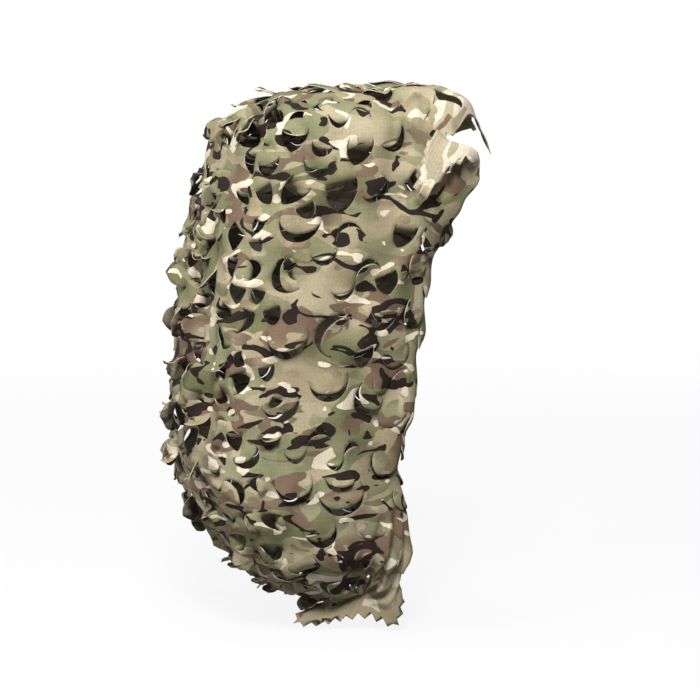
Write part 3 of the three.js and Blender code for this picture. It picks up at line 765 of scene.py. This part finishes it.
def tile_leaves():
    """The CAD model's open leaves, one for a tile, away from the near side."""
    leaves = []
    for chart, tile_rows in ((FRONT, TILES_UP), (WALL, WALL_TILES + MARGIN_TILES)):
        for row in range(tile_rows):
            shift = row % 2
            for column in range(TILES_ACROSS - shift if chart == FRONT else AROUND // 2):
                u, v = 2 * column + 1 + shift, 2 * row + 1
                side, way = part_of(chart, u)
                part = leaf_part(chart, side, v)
                rule = PART_RULES[part]
                shut = chance(column, row, len(side)) >= rule["share"]
                if shut or side == "near" or kept_bare(chart, u, v):
                    continue
                twist = -(chance(column, row, 11) - 0.5) * LEAF_TWIST
                size = 0.86 + 0.2 * chance(column, row, 13)
                way = leaf_way(part, column, row, way)
                leaves.append(wanted(chart, u, v, way, "open", size, twist, rule["tip"]))
    return leaves


BETWEEN_PITCH = 0.5   # chart units between the places that are tried


def between_leaves():
    """Smaller leaves, which fill the room between the others, densest round the front."""
    leaves = []
    for chart, (size_u, size_v) in SIZES.items():
        for j in range(int(size_v / BETWEEN_PITCH)):
            for i in range(int(size_u / BETWEEN_PITCH)):
                u = (i + 0.5 + 0.8 * (chance(i, j, 51) - 0.5)) * BETWEEN_PITCH
                v = (j + 0.5 + 0.8 * (chance(i, j, 52) - 0.5)) * BETWEEN_PITCH
                side, way = part_of(chart, u)
                part = leaf_part(chart, side, v)
                dense = part in ("front", "edge")
                if kept_bare(chart, u, v) or not dense and (i % 2 or j % 2):
                    continue
                kind = pick_kind(part, chance(i, j, 53))
                way = leaf_way(part, i, j, way)
                twist = BETWEEN_TWIST * (chance(i, j, 54) - 0.5)
                size = (0.62 if dense else 0.68) + 0.3 * chance(i, j, 55)
                leaves.append(wanted(chart, u, v, way, kind, size, twist))
    return leaves


SMALLER = (1, 0.85, 0.72)  # sizes to try where a leaf has little room


def all_cuts():
    """Every leaf that has room, in order of their claims."""
    leaves = placed_leaves() + tile_leaves() + between_leaves()
    add_frames(leaves)
    cuts = []
    for leaf in leaves:
        for smaller in SMALLER:
            cut = make_cut(leaf, smaller)
            if inside_chart(cut) and clear_of(cut, cuts):
                cuts.append(dict(cut, number=len(cuts)))
                break
    return cuts


# ---- The sheet as a flat, cut triangulation ------------------------------------------------
GRID = 5  # points for each chart unit
CUT_ROOM = 0.52  # steps of the grid that its points keep from a cut
FINE_ROOM = 0.6  # and that the finer points keep
NO_AREA = 1e-7  # what a triangle without area has at most, and how near two points may lie
HEM_ROW = 0.24  # chart units between the rows of points that carry the hem's teeth
FINE = dict(first=36, last=43, step=9.9)  # where the loose corner has points between the others


def chart_mesh(chart, cuts):
    """Triangulates a chart with its cuts as edges. Returns places, triangles and cut edges."""
    count_u, count_v = (size * GRID + 1 for size in SIZES[chart])
    keep = np.ones((count_u, count_v), bool)
    for cut in cuts:
        for place in cut["line"]:
            i, j = (place * GRID).astype(int)
            for di in (-1, 0, 1, 2):
                for dj in (-1, 0, 1, 2):
                    a, b = i + di, j + dj
                    if 0 < a < count_u - 1 and 0 < b < count_v - 1:
                        if math.hypot(a / GRID - place[0], b / GRID - place[1]) * GRID < CUT_ROOM:
                            keep[a, b] = False
    grid = np.argwhere(keep) / GRID
    if chart == WALL:
        fine = grid[(grid[:, 0] > FINE["first"]) & (grid[:, 0] < FINE["last"])]
        fine = fine[fine[:, 1] > FINE["step"]] + [0.5 / GRID, 0]
        lines = np.concatenate([cut["line"] for cut in cuts])
        clear = np.linalg.norm(fine[:, None] - lines[None], axis=-1).min(1) > FINE_ROOM / GRID
        grid = np.concatenate([grid, fine[clear]])
        hem = [np.stack([HEM, np.full_like(HEM, BACK - k * HEM_ROW)], -1) for k in range(4)]
        grid = np.concatenate([grid[grid[:, 1] < BACK - 3.6 * HEM_ROW], *hem])
    places = [tuple(p) for p in grid]
    edges = []
    for cut in cuts:
        first = len(places)
        places.extend(tuple(p) for p in cut["line"])
        edges.extend((k, k + 1) for k in range(first, len(places) - 1))
    out = delaunay_2d_cdt([Vector(p) for p in places], edges, [], 0, NO_AREA, True)
    new_places = np.array([tuple(p) for p in out[0]])
    at = {}
    for new, olds in enumerate(out[3]):
        for old in olds:
            at[old] = new
    triangles = np.array([tuple(f) for f in out[2] if len(f) == 3])
    a, b, c = (new_places[triangles[:, k]] for k in range(3))
    area = (b[:, 0] - a[:, 0]) * (c[:, 1] - a[:, 1]) - (b[:, 1] - a[:, 1]) * (c[:, 0] - a[:, 0])
    triangles[area < 0] = triangles[area < 0][:, ::-1]
    triangles = triangles[np.abs(area) > NO_AREA]
    return new_places, triangles, [(at[i], at[j]) for i, j in edges]


def split_along(places, triangles, cut_edges):
    """Parts the sheet along its cuts: each cut point gets one copy for each side of its cut."""
    cut_set = {frozenset(edge) for edge in cut_edges}
    on_cut = {point for edge in cut_edges for point in edge}
    around = {point: [] for point in on_cut}
    for number, triangle in enumerate(triangles.tolist()):
        for corner in triangle:
            if corner in around:
                around[corner].append(number)
    source = list(range(len(places)))
    original, triangles = triangles, triangles.copy()
    for point, fan in around.items():
        group = {number: number for number in fan}

        def top(number):
            while group[number] != number:
                number = group[number]
            return number

        spokes = {}
        for number in fan:
            for other in original[number].tolist():
                if other != point and frozenset((point, other)) not in cut_set:
                    spokes.setdefault(other, []).append(number)
        for pair in spokes.values():
            if len(pair) == 2:
                group[top(pair[0])] = top(pair[1])
        tops = sorted({top(number) for number in fan})
        for head in tops[1:]:
            copy = len(source)
            source.append(point)
            for number in fan:
                if top(number) == head:
                    triangles[number][triangles[number] == point] = copy
    return np.array(source), triangles, on_cut


def flat_sheet(cuts):
    """Both charts as one cut sheet: chart, places, triangles, and each point's flap."""
    parts, offset = [], 0
    for chart in (FRONT, WALL):
        own = [cut for cut in cuts if cut["chart"] == chart]
        base, tris, cut_edges = chart_mesh(chart, own)
        source, tris, on_cut = split_along(base, tris, cut_edges)
        spots = base[source]
        is_cut = np.isin(source, list(on_cut))
        centres = spots[tris].mean(1)
        flap = np.full(len(spots), -1)
        for cut in own:
            for number, part in enumerate(cut["flaps"]):
                polygon = part["polygon"]
                low, high = polygon.min(0) - 0.01, polygon.max(0) + 0.01
                name = cut["number"] * 2 + number
                near = np.flatnonzero(((spots > low) & (spots < high)).all(1) & ~is_cut)
                flap[near[in_polygon(spots[near], polygon)]] = name
                close = np.flatnonzero(((centres > low) & (centres < high)).all(1))
                hit = tris[close[in_polygon(centres[close], polygon)]].ravel()
                flap[hit[is_cut[hit]]] = name
        parts.append((np.full(len(spots), chart), spots, tris + offset, flap))
        offset += len(spots)
    return [np.concatenate(part) for part in zip(*parts)]


def join_charts(chart, place, triangles):
    """Merges the front's border with the wall's first ring, and the wall's two ends."""
    shared = place.copy()
    name = chart.copy()
    front = chart == FRONT
    u, v = place.T
    for where, station in (
        (front & (v == 0), FAR_START - u),
        (front & (v == UP), TOP_START + u),
        (front & (u == 0), FAR_START + v),
        (front & (u == ACROSS), NEAR_END - v),
    ):
        shared[where, 0] = station[where]
        shared[where, 1] = 0
        name[where] = WALL
    ends = name == WALL
    shared[ends, 0] = np.mod(np.round(shared[ends, 0], 6), AROUND)
    border = ends & (shared[:, 1] == 0) | ends & (shared[:, 0] == 0)
    first = {}
    target = np.arange(len(place))
    for index in np.flatnonzero(border):
        key = (round(shared[index, 0] * GRID), round(shared[index, 1] * GRID))
        target[index] = first.setdefault(key, index)
    triangles = target[triangles]
    used = np.unique(triangles)
    new = np.full(len(place), -1)
    new[used] = np.arange(len(used))
    return used, new[triangles]


# ---- The sheet in space -------------------------------------------------------------------
TOOTH_PITCH = 13
TOOTH_DEPTH = 8
TOOTH_FADE = 0.9     # chart units over which the teeth fade into the cloth
PLAIN_HEM = (29.6, 37.2)  # stations between which the hem is rolled under and shows no teeth
CLOTH_THICKNESS = 0.7
UNROLLED_STEP = 22   # a margin step's length for the print


def hem_stations():
    """Stations along the hem, one for each tip and each notch of its teeth."""
    fine = np.linspace(0, AROUND, AROUND * 20 + 1)
    hem = margin_point(fine, np.full_like(fine, BACK))
    length = np.concatenate([[0], np.cumsum(np.linalg.norm(np.diff(hem, axis=0), axis=1))])
    count = 2 * int(round(length[-1] / TOOTH_PITCH))
    return np.interp(np.linspace(0, length[-1], count + 1), length, fine)


HEM = hem_stations()


def pinked(points, u, v, along_u, along_v):
    """Draws the hem in at every other station, so that the cut edge is a row of teeth."""
    phase = np.interp(np.mod(u, AROUND), HEM, np.arange(len(HEM)))
    notch = np.abs(np.mod(phase, 2) - 1) * (0.85 + 0.15 * np.sin(2.4 * phase))
    share = np.clip((v - BACK) / TOOTH_FADE + 1, 0, 1) * notch
    share = np.where((u > PLAIN_HEM[0]) & (u < PLAIN_HEM[1]), 0, share)
    side = unit(along_u)
    inwards = -unit(along_v - (along_v * side).sum(-1, keepdims=True) * side)
    return points + (share * TOOTH_DEPTH)[:, None] * inwards


def surface(chart, place):
    """Smooth points and outward normals of the whole sheet."""
    points, normals = np.zeros((len(place), 3)), np.zeros((len(place), 3))
    for kind in (FRONT, WALL):
        own = chart == kind
        u, v = place[own].T
        smooth = smooth_point(kind, u, v)
        along_u, along_v = tangents(kind, u, v)
        if kind == WALL:
            smooth = pinked(smooth, u, v, along_u, along_v)
        points[own] = smooth
        normals[own] = unit(np.cross(along_u, along_v))
    return points, normals


def soft_noise(points, size, seed):
    """Smooth noise about 0, at a size in millimetres for each axis."""
    scaled = points / np.asarray(size, float) + seed
    return np.array([noise.noise(Vector(p)) for p in scaled])


FLAP = dict(first=37.2, last=41.2, step=11)  # the flap that is thrown over the near side
FLAP_LIFT = 5.0
FLAP_CALM = 0.9      # the share of its folds and wrinkles that the flap doesn't have


def ramp(value, start, width):
    """0 up to a start, rising to 1 over a width."""
    return np.clip((value - start) / width, 0, 1)


# Where the print is at its palest, from a step back: between two stations, over the stations
# that the paleness takes to come and to go, and its share.
PALE_STEP, PALE_EASE = 10.2, 1.2
PALE = rows(
    "first last come go share",
    (28, 41, 3, 0.8, 1),
    (55, 62, 2, 1.5, 0.6),
)


# Besides paling the print, this share keeps the reverse face's painted shade off these places.
def pale_share(chart, place):
    """1 where the print is palest, on the loose top corner, less on the hanging strip, else 0."""
    u, v = place.T
    pale = sum(
        row["share"] * ramp(u, row["first"], row["come"]) * ramp(-u, -row["last"], row["go"])
        for row in PALE
    )
    return np.where(chart == WALL, ramp(v, PALE_STEP, PALE_EASE) * pale, 0)


# Fine wrinkles over the whole cloth: their height, their size and a seed. The last ones are
# kept to the gathered top corner.
WRINKLES = ((6.0, (50, 50, 70), 3.1), (3.6, (23, 23, 34), 11.7))
CRUMPLE = (5, (13, 16, 40), 23.3)
CRUMPLE_CENTRE, CRUMPLE_REACH = (150, 140, -75), 45


def small_folds(points):
    """Fine wrinkles over the whole cloth, deeper where it is gathered at the top corner."""
    rise = sum(height * soft_noise(points, size, seed) for height, size, seed in WRINKLES)
    corner = np.linalg.norm(points - CRUMPLE_CENTRE, axis=1) / CRUMPLE_REACH
    height, size, seed = CRUMPLE
    return rise + height * np.exp(-corner * corner) * soft_noise(points, size, seed)


def flap_share(chart, place):
    """1 on the flap that is thrown over the near side, 0 elsewhere, with a soft border."""
    u, v = place.T
    share = ramp(u, FLAP["first"], 0.6) * ramp(-u, -FLAP["last"], 0.8)
    return np.where(chart == WALL, ramp(v, FLAP["step"], 1.2) * share, 0)


# Where the cloth hangs in pleats that run up and down: between two stations and two steps, with
# the pleats' spacing in steps and their depth.
PLEATS = rows(
    "first last low high pitch depth",
    (54.4, 59.4, 9.0, 12.9, 1.15, 5.0),
    (36.0, 38.9, 7.2, 9.6, 0.8, 3.0),
)


def pleats(chart, place):
    """How far the pleats raise each point."""
    u, v = place.T
    rise = np.zeros(len(place))
    for row in PLEATS:
        share = np.clip(np.minimum(u - row["first"], row["last"] - u), 0, 1)
        share = share * np.clip(2 * np.minimum(v - row["low"], row["high"] - v), 0, 1)
        wave = np.cos(2 * math.pi * (v - row["low"] + 0.12 * np.sin(1.7 * u)) / row["pitch"])
        rise += row["depth"] * share * wave
    return np.where(chart == WALL, rise, 0)


# The mounds by each leaf: their place along it and their spread, as shares of its reach, and their
# height in millimetres.
RELIEF = ((-0.55, 0.8, 4.4), (0.85, 0.65, -5.4))


def leaf_relief(points, cuts):
    """How the sheet rises at a leaf's root and sinks at the lip under its tip."""
    rise = np.zeros(len(points))
    for cut in cuts:
        shape = cut["shape"]
        lift = math.sin(min(abs(shape["tip"]), 90) * DEGREE)
        for place, spread, height in RELIEF:
            spot = cut["centre"] + cut["way"] * cut["reach"] * place
            away = np.linalg.norm(points - spot, axis=1) / (cut["reach"] * spread)
            near = away < 2.5
            rise[near] += (0.4 + 0.6 * lift) * height * np.exp(-away[near] ** 2)
    return rise


def bend_leaves(points, place, flap_of, cuts):
    """Bends each tongue out of the sheet along an arc from its root, and cups it a little."""
    for cut in cuts:
        shape = cut["shape"]
        for number, part in enumerate(cut["flaps"]):
            own = np.flatnonzero(flap_of == cut["number"] * 2 + number)
            if not len(own):
                continue
            flat = (place[own] - cut["place"]) * cut["scale"]
            across = flat @ cut["across"] - part["root"][0]
            along = (flat @ cut["tongue"] - part["root"][1]) * part["sign"]
            way = cut["way"] * part["sign"]
            along = np.maximum(along, 0)
            foot = points[own] - along[:, None] * way
            along = along * (1 - shape["gap"] / part["length"])
            wobble = chance(cut["number"], number, 31) - 0.5  # so that no two leaves are alike
            first = shape["root"] * DEGREE * (1 + 0.5 * wobble)
            last = shape["tip"] * DEGREE * (1 + 0.7 * wobble)
            bend = (last - first) / part["length"]
            angle = first + bend * along
            forward = (np.sin(angle) - math.sin(first)) / bend
            outward = (math.cos(first) - np.cos(angle)) / bend
            own_out = np.cos(angle)[:, None] * cut["normal"] - np.sin(angle)[:, None] * way
            side = across / (part["width"] / 2)
            rise = shape["cup"] * part["width"] * side * side * along / part["length"]
            skew = 0.25 * (chance(cut["number"], number, 37) - 0.5)
            rise = rise + skew * across * along / part["length"]
            points[own] = (
                foot + forward[:, None] * way + outward[:, None] * cut["normal"]
                + rise[:, None] * own_out
            )
    return points


def vertex_normals(points, triangles):
    a, b, c = (points[triangles[:, k]] for k in range(3))
    weighted = np.cross(b - a, c - a)
    normals = np.zeros_like(points)
    for k in range(3):
        np.add.at(normals, triangles[:, k], weighted)
    return unit(normals)


PRINTED, REVERSE, CUT_EDGE = 0, 1, 2


def thicken(points, triangles):
    """The printed face, the reverse face and the cut edges, as one closed skin."""
    normals = vertex_normals(points, triangles)
    count = len(points)
    half = CLOTH_THICKNESS / 2
    skin = np.concatenate([points + half * normals, points - half * normals])
    directed = np.concatenate([triangles[:, [0, 1]], triangles[:, [1, 2]], triangles[:, [2, 0]]])
    code = directed[:, 0].astype(np.int64) * count + directed[:, 1]
    back = directed[:, 1].astype(np.int64) * count + directed[:, 0]
    free = directed[~np.isin(code, back)]
    p, q = free[:, 0], free[:, 1]
    rim = np.concatenate(
        [np.stack([q, p, p + count], -1), np.stack([q, p + count, q + count], -1)]
    )
    faces = np.concatenate([triangles, triangles[:, ::-1] + count, rim])
    kinds = np.repeat([PRINTED, REVERSE, CUT_EDGE], [len(triangles), len(triangles), len(rim)])
    return skin, faces, kinds


def flat_coordinates(chart, place):
    """Where each point lies on the flat cloth, in millimetres, for its weave."""
    flat = np.zeros((len(place), 2))
    front = chart == FRONT
    flat[front] = front_place(place[front, 0], place[front, 1])
    around = np.interp(place[~front, 0], STATION_MARKS, LENGTH_MARKS)
    flat[~front, 0] = around
    flat[~front, 1] = place[~front, 1] / WALL_STEPS * WALL_LENGTH
    return flat


def print_place(chart, place, rest):
    """Where each point lies for its print: on the sheet, with the margin unrolled straight back."""
    printed = rest.copy()
    margin = (chart == WALL) & (place[:, 1] > WALL_STEPS)
    station, step = place[margin].T
    printed[margin] = wall_point(station, np.full_like(station, WALL_STEPS))
    printed[margin, 1] += (step - WALL_STEPS) * UNROLLED_STEP
    return printed


def make_net(materials):
    """The whole sheet as one piece."""
    cuts = all_cuts()
    chart, place, triangles, flap_of = flat_sheet(cuts)
    used, triangles = join_charts(chart, place, triangles)
    chart, place, flap_of = chart[used], place[used], flap_of[used]
    rest, normals = surface(chart, place)
    flap = flap_share(chart, place)
    rise = (fold_rise(rest) + small_folds(rest)) * (1 - FLAP_CALM * flap) - FLAP_LIFT * flap
    rise += leaf_relief(rest, cuts) + pleats(chart, place)
    points = rest + rise[:, None] * normals
    points = bend_leaves(points, place, flap_of, cuts)
    skin, faces, kinds = thicken(points, triangles)

    mesh = bpy.data.meshes.new("net")
    mesh.from_pydata((skin * MM).tolist(), [], faces.tolist())
    mesh.validate()
    for material in materials:
        mesh.materials.append(material)
    mesh.polygons.foreach_set("material_index", kinds.astype(np.int32))
    mesh.polygons.foreach_set("use_smooth", kinds != CUT_EDGE)
    rest_position = mesh.attributes.new("rest_place", "FLOAT_VECTOR", "POINT")
    printed = np.tile(print_place(chart, place, rest) * MM, (2, 1))
    rest_position.data.foreach_set("vector", printed.astype(np.float32).ravel())
    pale = mesh.attributes.new("pale", "FLOAT", "POINT")
    pale.data.foreach_set("value", np.tile(pale_share(chart, place), 2).astype(np.float32))
    weave = mesh.uv_layers.new(name="weave")
    flat = np.tile(flat_coordinates(chart, place), (2, 1))
    corners = np.zeros(len(mesh.loops), np.int32)
    mesh.loops.foreach_get("vertex_index", corners)
    weave.data.foreach_set("uv", (flat[corners] * MM).astype(np.float32).ravel())
    mesh.update()
    net = bpy.data.objects.new("net", mesh)
    bpy.context.collection.objects.link(net)
    return net


# ---- Materials ----------------------------------------------------------------------------
TAN = (0.348, 0.290, 0.178)
SAND = (0.428, 0.366, 0.240)
GREEN = (0.162, 0.164, 0.081)
PALE_GREEN = (0.233, 0.233, 0.129)
BROWN = (0.172, 0.118, 0.078)
DARK_BROWN = (0.022, 0.015, 0.012)
CREAM = (0.700, 0.610, 0.470)
REVERSE_FADE = (0.36, 0.33, 0.26)
EDGE_COLOUR = (0.56, 0.50, 0.38)


class Nodes:
    """Short calls for building the nodes of a material or a world."""

    def __init__(self, owner):
        owner.use_nodes = True
        self.tree = owner.node_tree

    def add(self, kind, *values, operation=None, **inputs):
        """A node, with its sockets fed in their order or by name."""
        node = self.tree.nodes.new(f"ShaderNode{kind}")
        if operation:
            node.operation = operation
        for socket, value in zip(node.inputs, values):
            self.feed(socket, value)
        self.fill(node, **inputs)
        return node

    def fill(self, node, **inputs):
        for name, value in inputs.items():
            self.feed(node.inputs[name.replace("_", " ")], value)

    def feed(self, socket, value):
        if isinstance(value, bpy.types.NodeSocket):
            self.tree.links.new(value, socket)
        else:
            socket.default_value = (*value, 1) if socket.type == "RGBA" else value

    def attribute(self, name, output):
        node = self.add("Attribute")
        node.attribute_name = name
        return node.outputs[output]

    def maths(self, operation, *values):
        return self.add("Math", *values, operation=operation).outputs[0]

    def vectors(self, operation, *values):
        return self.add("VectorMath", *values, operation=operation).outputs[0]

    def noise(self, vector, size, detail, distortion, seed):
        """Noise with features of about the given size in metres."""
        moved = self.vectors("ADD", vector, (seed, seed * 1.7, seed * 0.6))
        node = self.add(
            "TexNoise", Vector=moved, Scale=1 / size, Detail=detail, Roughness=0.45,
            Distortion=distortion,
        )
        return node.outputs["Fac"]

    def mix(self, share, first, second):
        node = self.add("Mix")
        node.data_type = "RGBA"
        self.feed(node.inputs["Factor"], share)
        self.feed(node.inputs[6], first)
        self.feed(node.inputs[7], second)
        return node.outputs[2]

    def show(self, first, second):
        """Shows the second shader to rays that see the background, and the first to the rest."""
        mixed = self.add("MixShader", sees_background(self), first, second)
        output = next(node for node in self.tree.nodes if node.name.endswith(" Output"))
        self.fill(output, Surface=mixed.outputs[0])


PRINT_SQUEEZE = (0.62, 0.62, 1.15)   # patches are longer sideways than they are high

# The print's layers over TAN: each one's colour, and one or two sets of patches, whose product is
# its share. Of each set: the noise between which it comes in, what is added to that noise where
# the cloth is pale, and the noise's size in metres, detail, distortion and seed.
LAYERS = (
    (SAND, (0.42, 0.6, 0.1, 0.052, 1, 0.4, 2.1)),
    (PALE_GREEN, (0.36, 0.56, -0.2, 0.070, 1, 0.2, 5.3), (0.475, 0.483, 0, 0.040, 1.5, 0.9, 8.2)),
    (GREEN, (0.515, 0.523, -0.3, 0.043, 1.5, 1.1, 12.4), (0.36, 0.58, 0, 0.060, 0.5, 0.2, 15.8)),
    (BROWN, (0.550, 0.558, -0.04, 0.033, 1.5, 1.2, 21.6), (0.28, 0.52, 0, 0.044, 0.5, 0.2, 25.1)),
    (DARK_BROWN, (0.592, 0.599, -0.3, 0.024, 1.2, 1.1, 31.3)),
    (CREAM, (0.650, 0.657, 0.09, 0.020, 0.6, 0.8, 47.2)),
)


def print_pattern(nodes):
    """A generic camouflage print: soft grounds under crisp, sideways blobs and twigs."""
    at = nodes.vectors("MULTIPLY", nodes.attribute("rest_place", "Vector"), PRINT_SQUEEZE)
    pale = nodes.attribute("pale", "Fac")

    def patches(low, high, shift, *noise):
        value = nodes.maths("ADD", nodes.noise(at, *noise), nodes.maths("MULTIPLY", pale, shift))
        return nodes.add("MapRange", value, low, high).outputs[0]

    ground = TAN
    for colour, first, *more in LAYERS:
        share = patches(*first)
        for values in more:
            share = nodes.maths("MULTIPLY", share, patches(*values))
        ground = nodes.mix(share, ground, colour)
    return ground


GRID_PITCH = 0.0042   # spacing of the ripstop's thick threads
GRID_WIDTH = 0.14     # their width, as a share of the spacing


def ripstop(nodes):
    """1 on the thick threads of the weave, 0 between them."""
    weave = nodes.add("UVMap")
    weave.uv_map = "weave"
    parts = nodes.add("SeparateXYZ", weave.outputs[0])
    lines = []
    for axis in range(2):
        place = nodes.maths("FRACT", nodes.maths("DIVIDE", parts.outputs[axis], GRID_PITCH))
        lines.append(nodes.maths("LESS_THAN", place, GRID_WIDTH))
    return nodes.maths("MAXIMUM", *lines)


def cloth_material(name, fade, grid, painted_shade):
    """One face of the cloth: its print, faded by a share and darkened by a share of painted shade,
    and its ripstop grid.
    """
    material = bpy.data.materials.new(name)
    nodes = Nodes(material)
    colour = nodes.mix(fade, print_pattern(nodes), REVERSE_FADE)
    fleck = nodes.noise(nodes.attribute("rest_place", "Vector"), 0.0022, 2, 0, 3.7)
    shade = nodes.maths("ADD", 0.80, nodes.maths("MULTIPLY", fleck, 0.40))
    # Painted shade: the colour is darkened by a share, less where the print is pale and not at all
    # where it is palest.
    shade_taken_back = nodes.maths("MULTIPLY", nodes.attribute("pale", "Fac"), painted_shade)
    shade = nodes.maths("MULTIPLY", shade, nodes.maths("ADD", 1 - painted_shade, shade_taken_back))
    threads = ripstop(nodes)
    lighter = nodes.maths("ADD", 1, nodes.maths("MULTIPLY", threads, grid))
    shade = nodes.maths("MULTIPLY", shade, lighter)
    grey = nodes.add("CombineXYZ", shade, shade, shade).outputs[0]
    bump = nodes.add("Bump", Strength=0.35, Distance=0.0004, Height=threads)
    nodes.fill(
        nodes.tree.nodes["Principled BSDF"], Base_Color=nodes.vectors("MULTIPLY", colour, grey),
        Roughness=0.86, Specular_IOR_Level=0.12, Normal=bump.outputs[0],
    )
    return material


def plain_material(name, colour, roughness):
    material = bpy.data.materials.new(name)
    nodes = Nodes(material)
    nodes.fill(nodes.tree.nodes["Principled BSDF"], Base_Color=colour, Roughness=roughness)
    return material


# ---- Studio -------------------------------------------------------------------------------
FLOOR_FADE = (0.7, 3.5, 0.88, 1)   # distances, and the floor's share of plain white at them
FLOOR_BOUNCE = 0.25   # how pale the floor is for light that it throws back at the object
WORLD_LIGHT = 0.03


def sees_background(nodes):
    """1 on rays that see the background as it is: the camera's, and those off gloss and glass."""
    path = nodes.add("LightPath").outputs
    share = path["Is Camera Ray"]
    for name in ("Is Glossy Ray", "Is Transmission Ray"):
        share = nodes.maths("MAXIMUM", share, path[name])
    return share


def floor_paint():
    """Pale paint that the camera sees nearly white, with the object's shadow still on it."""
    material = plain_material("floor_paint", (0.8, 0.8, 0.8), 0.9)
    nodes = Nodes(material)
    place = nodes.add("NewGeometry").outputs["Position"]
    away = nodes.add("VectorMath", place, operation="LENGTH").outputs["Value"]
    share = nodes.add("MapRange", away, *FLOOR_FADE)
    share.interpolation_type = "SMOOTHSTEP"
    paint = nodes.tree.nodes["Principled BSDF"].outputs[0]
    glow = nodes.add("Emission", Strength=1).outputs[0]
    seen = nodes.add("MixShader", share.outputs[0], paint, glow).outputs[0]
    nodes.show(nodes.add("BsdfDiffuse", (FLOOR_BOUNCE,) * 3).outputs[0], seen)
    return material


def make_studio():
    low = cad_box[0].z
    bpy.ops.mesh.primitive_plane_add(size=12, location=(0, 0, low - 0.004))
    floor = bpy.context.object
    floor.name = "floor"
    floor.data.materials.append(floor_paint())
    world = bpy.data.worlds.new("studio")
    bpy.context.scene.world = world
    nodes = Nodes(world)
    white = (1, 1, 1)
    shown = nodes.tree.nodes["Background"]
    nodes.fill(shown, Color=white, Strength=1)
    nodes.show(nodes.add("Background", white, WORLD_LIGHT).outputs[0], shown.outputs[0])


def stand(name, data, place, way):
    """Puts a lamp or the camera at a place, looking along a way."""
    thing = bpy.data.objects.new(name, data)
    thing.location = place
    thing.rotation_euler = way.to_track_quat("-Z", "Y").to_euler()
    bpy.context.collection.objects.link(thing)
    return thing


LAMP_TARGET = (0, 0, -0.3)
LAMPS = rows(
    "name place size power",
    ("key", (2.2, -0.6, 1.7), 0.8, 96),
    ("front_fill", (1.0, -2.4, 1.1), 0.8, 29),
    ("top", (0.1, -0.1, 2.2), 1.0, 18),
    ("far_fill", (-1.9, -1.4, 0.6), 1.2, 14),
)


def add_lamp(name, place, size, power):
    data = bpy.data.lights.new(name, "AREA")
    data.size = size
    data.energy = power
    stand(name, data, place, Vector(LAMP_TARGET) - Vector(place))


CAMERA = dict(azimuth=75, elevation=5, distance=2.3, width=0.756)
AIM = (0.0, 0.0, -0.27)
AIM_RIGHT, AIM_UP = 0.054, 0.003


def make_camera():
    a, e = CAMERA["azimuth"] * DEGREE, CAMERA["elevation"] * DEGREE
    back = Vector((math.sin(a) * math.cos(e), -math.cos(a) * math.cos(e), math.sin(e)))
    right = Vector((math.cos(a), math.sin(a), 0))
    above = back.cross(right)
    target = Vector(AIM) + right * AIM_RIGHT + above * AIM_UP
    data = bpy.data.cameras.new("camera")
    data.sensor_width = 36
    data.lens = data.sensor_width * CAMERA["distance"] / CAMERA["width"]
    camera = stand("camera", data, target + back * CAMERA["distance"], -back)
    bpy.context.scene.camera = camera


make_camera()
make_studio()
for lamp in LAMPS:
    add_lamp(**lamp)

printed_face = cloth_material("printed_face", 0.0, 0.12, 0.0)
# The reverse face is the net's inside. Its print is darkened by 0.56 as painted shade, so that the
# inside and the holes read dark, except on the pale corner.
reverse_face = cloth_material("reverse_face", 0.18, 0.3, 0.56)
cut_edge = plain_material("cut_edge", EDGE_COLOUR, 0.9)
net = make_net([printed_face, reverse_face, cut_edge])
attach(net, "root")
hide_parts("net_sheet")

bpy.context.scene.view_settings.view_transform = "Standard"
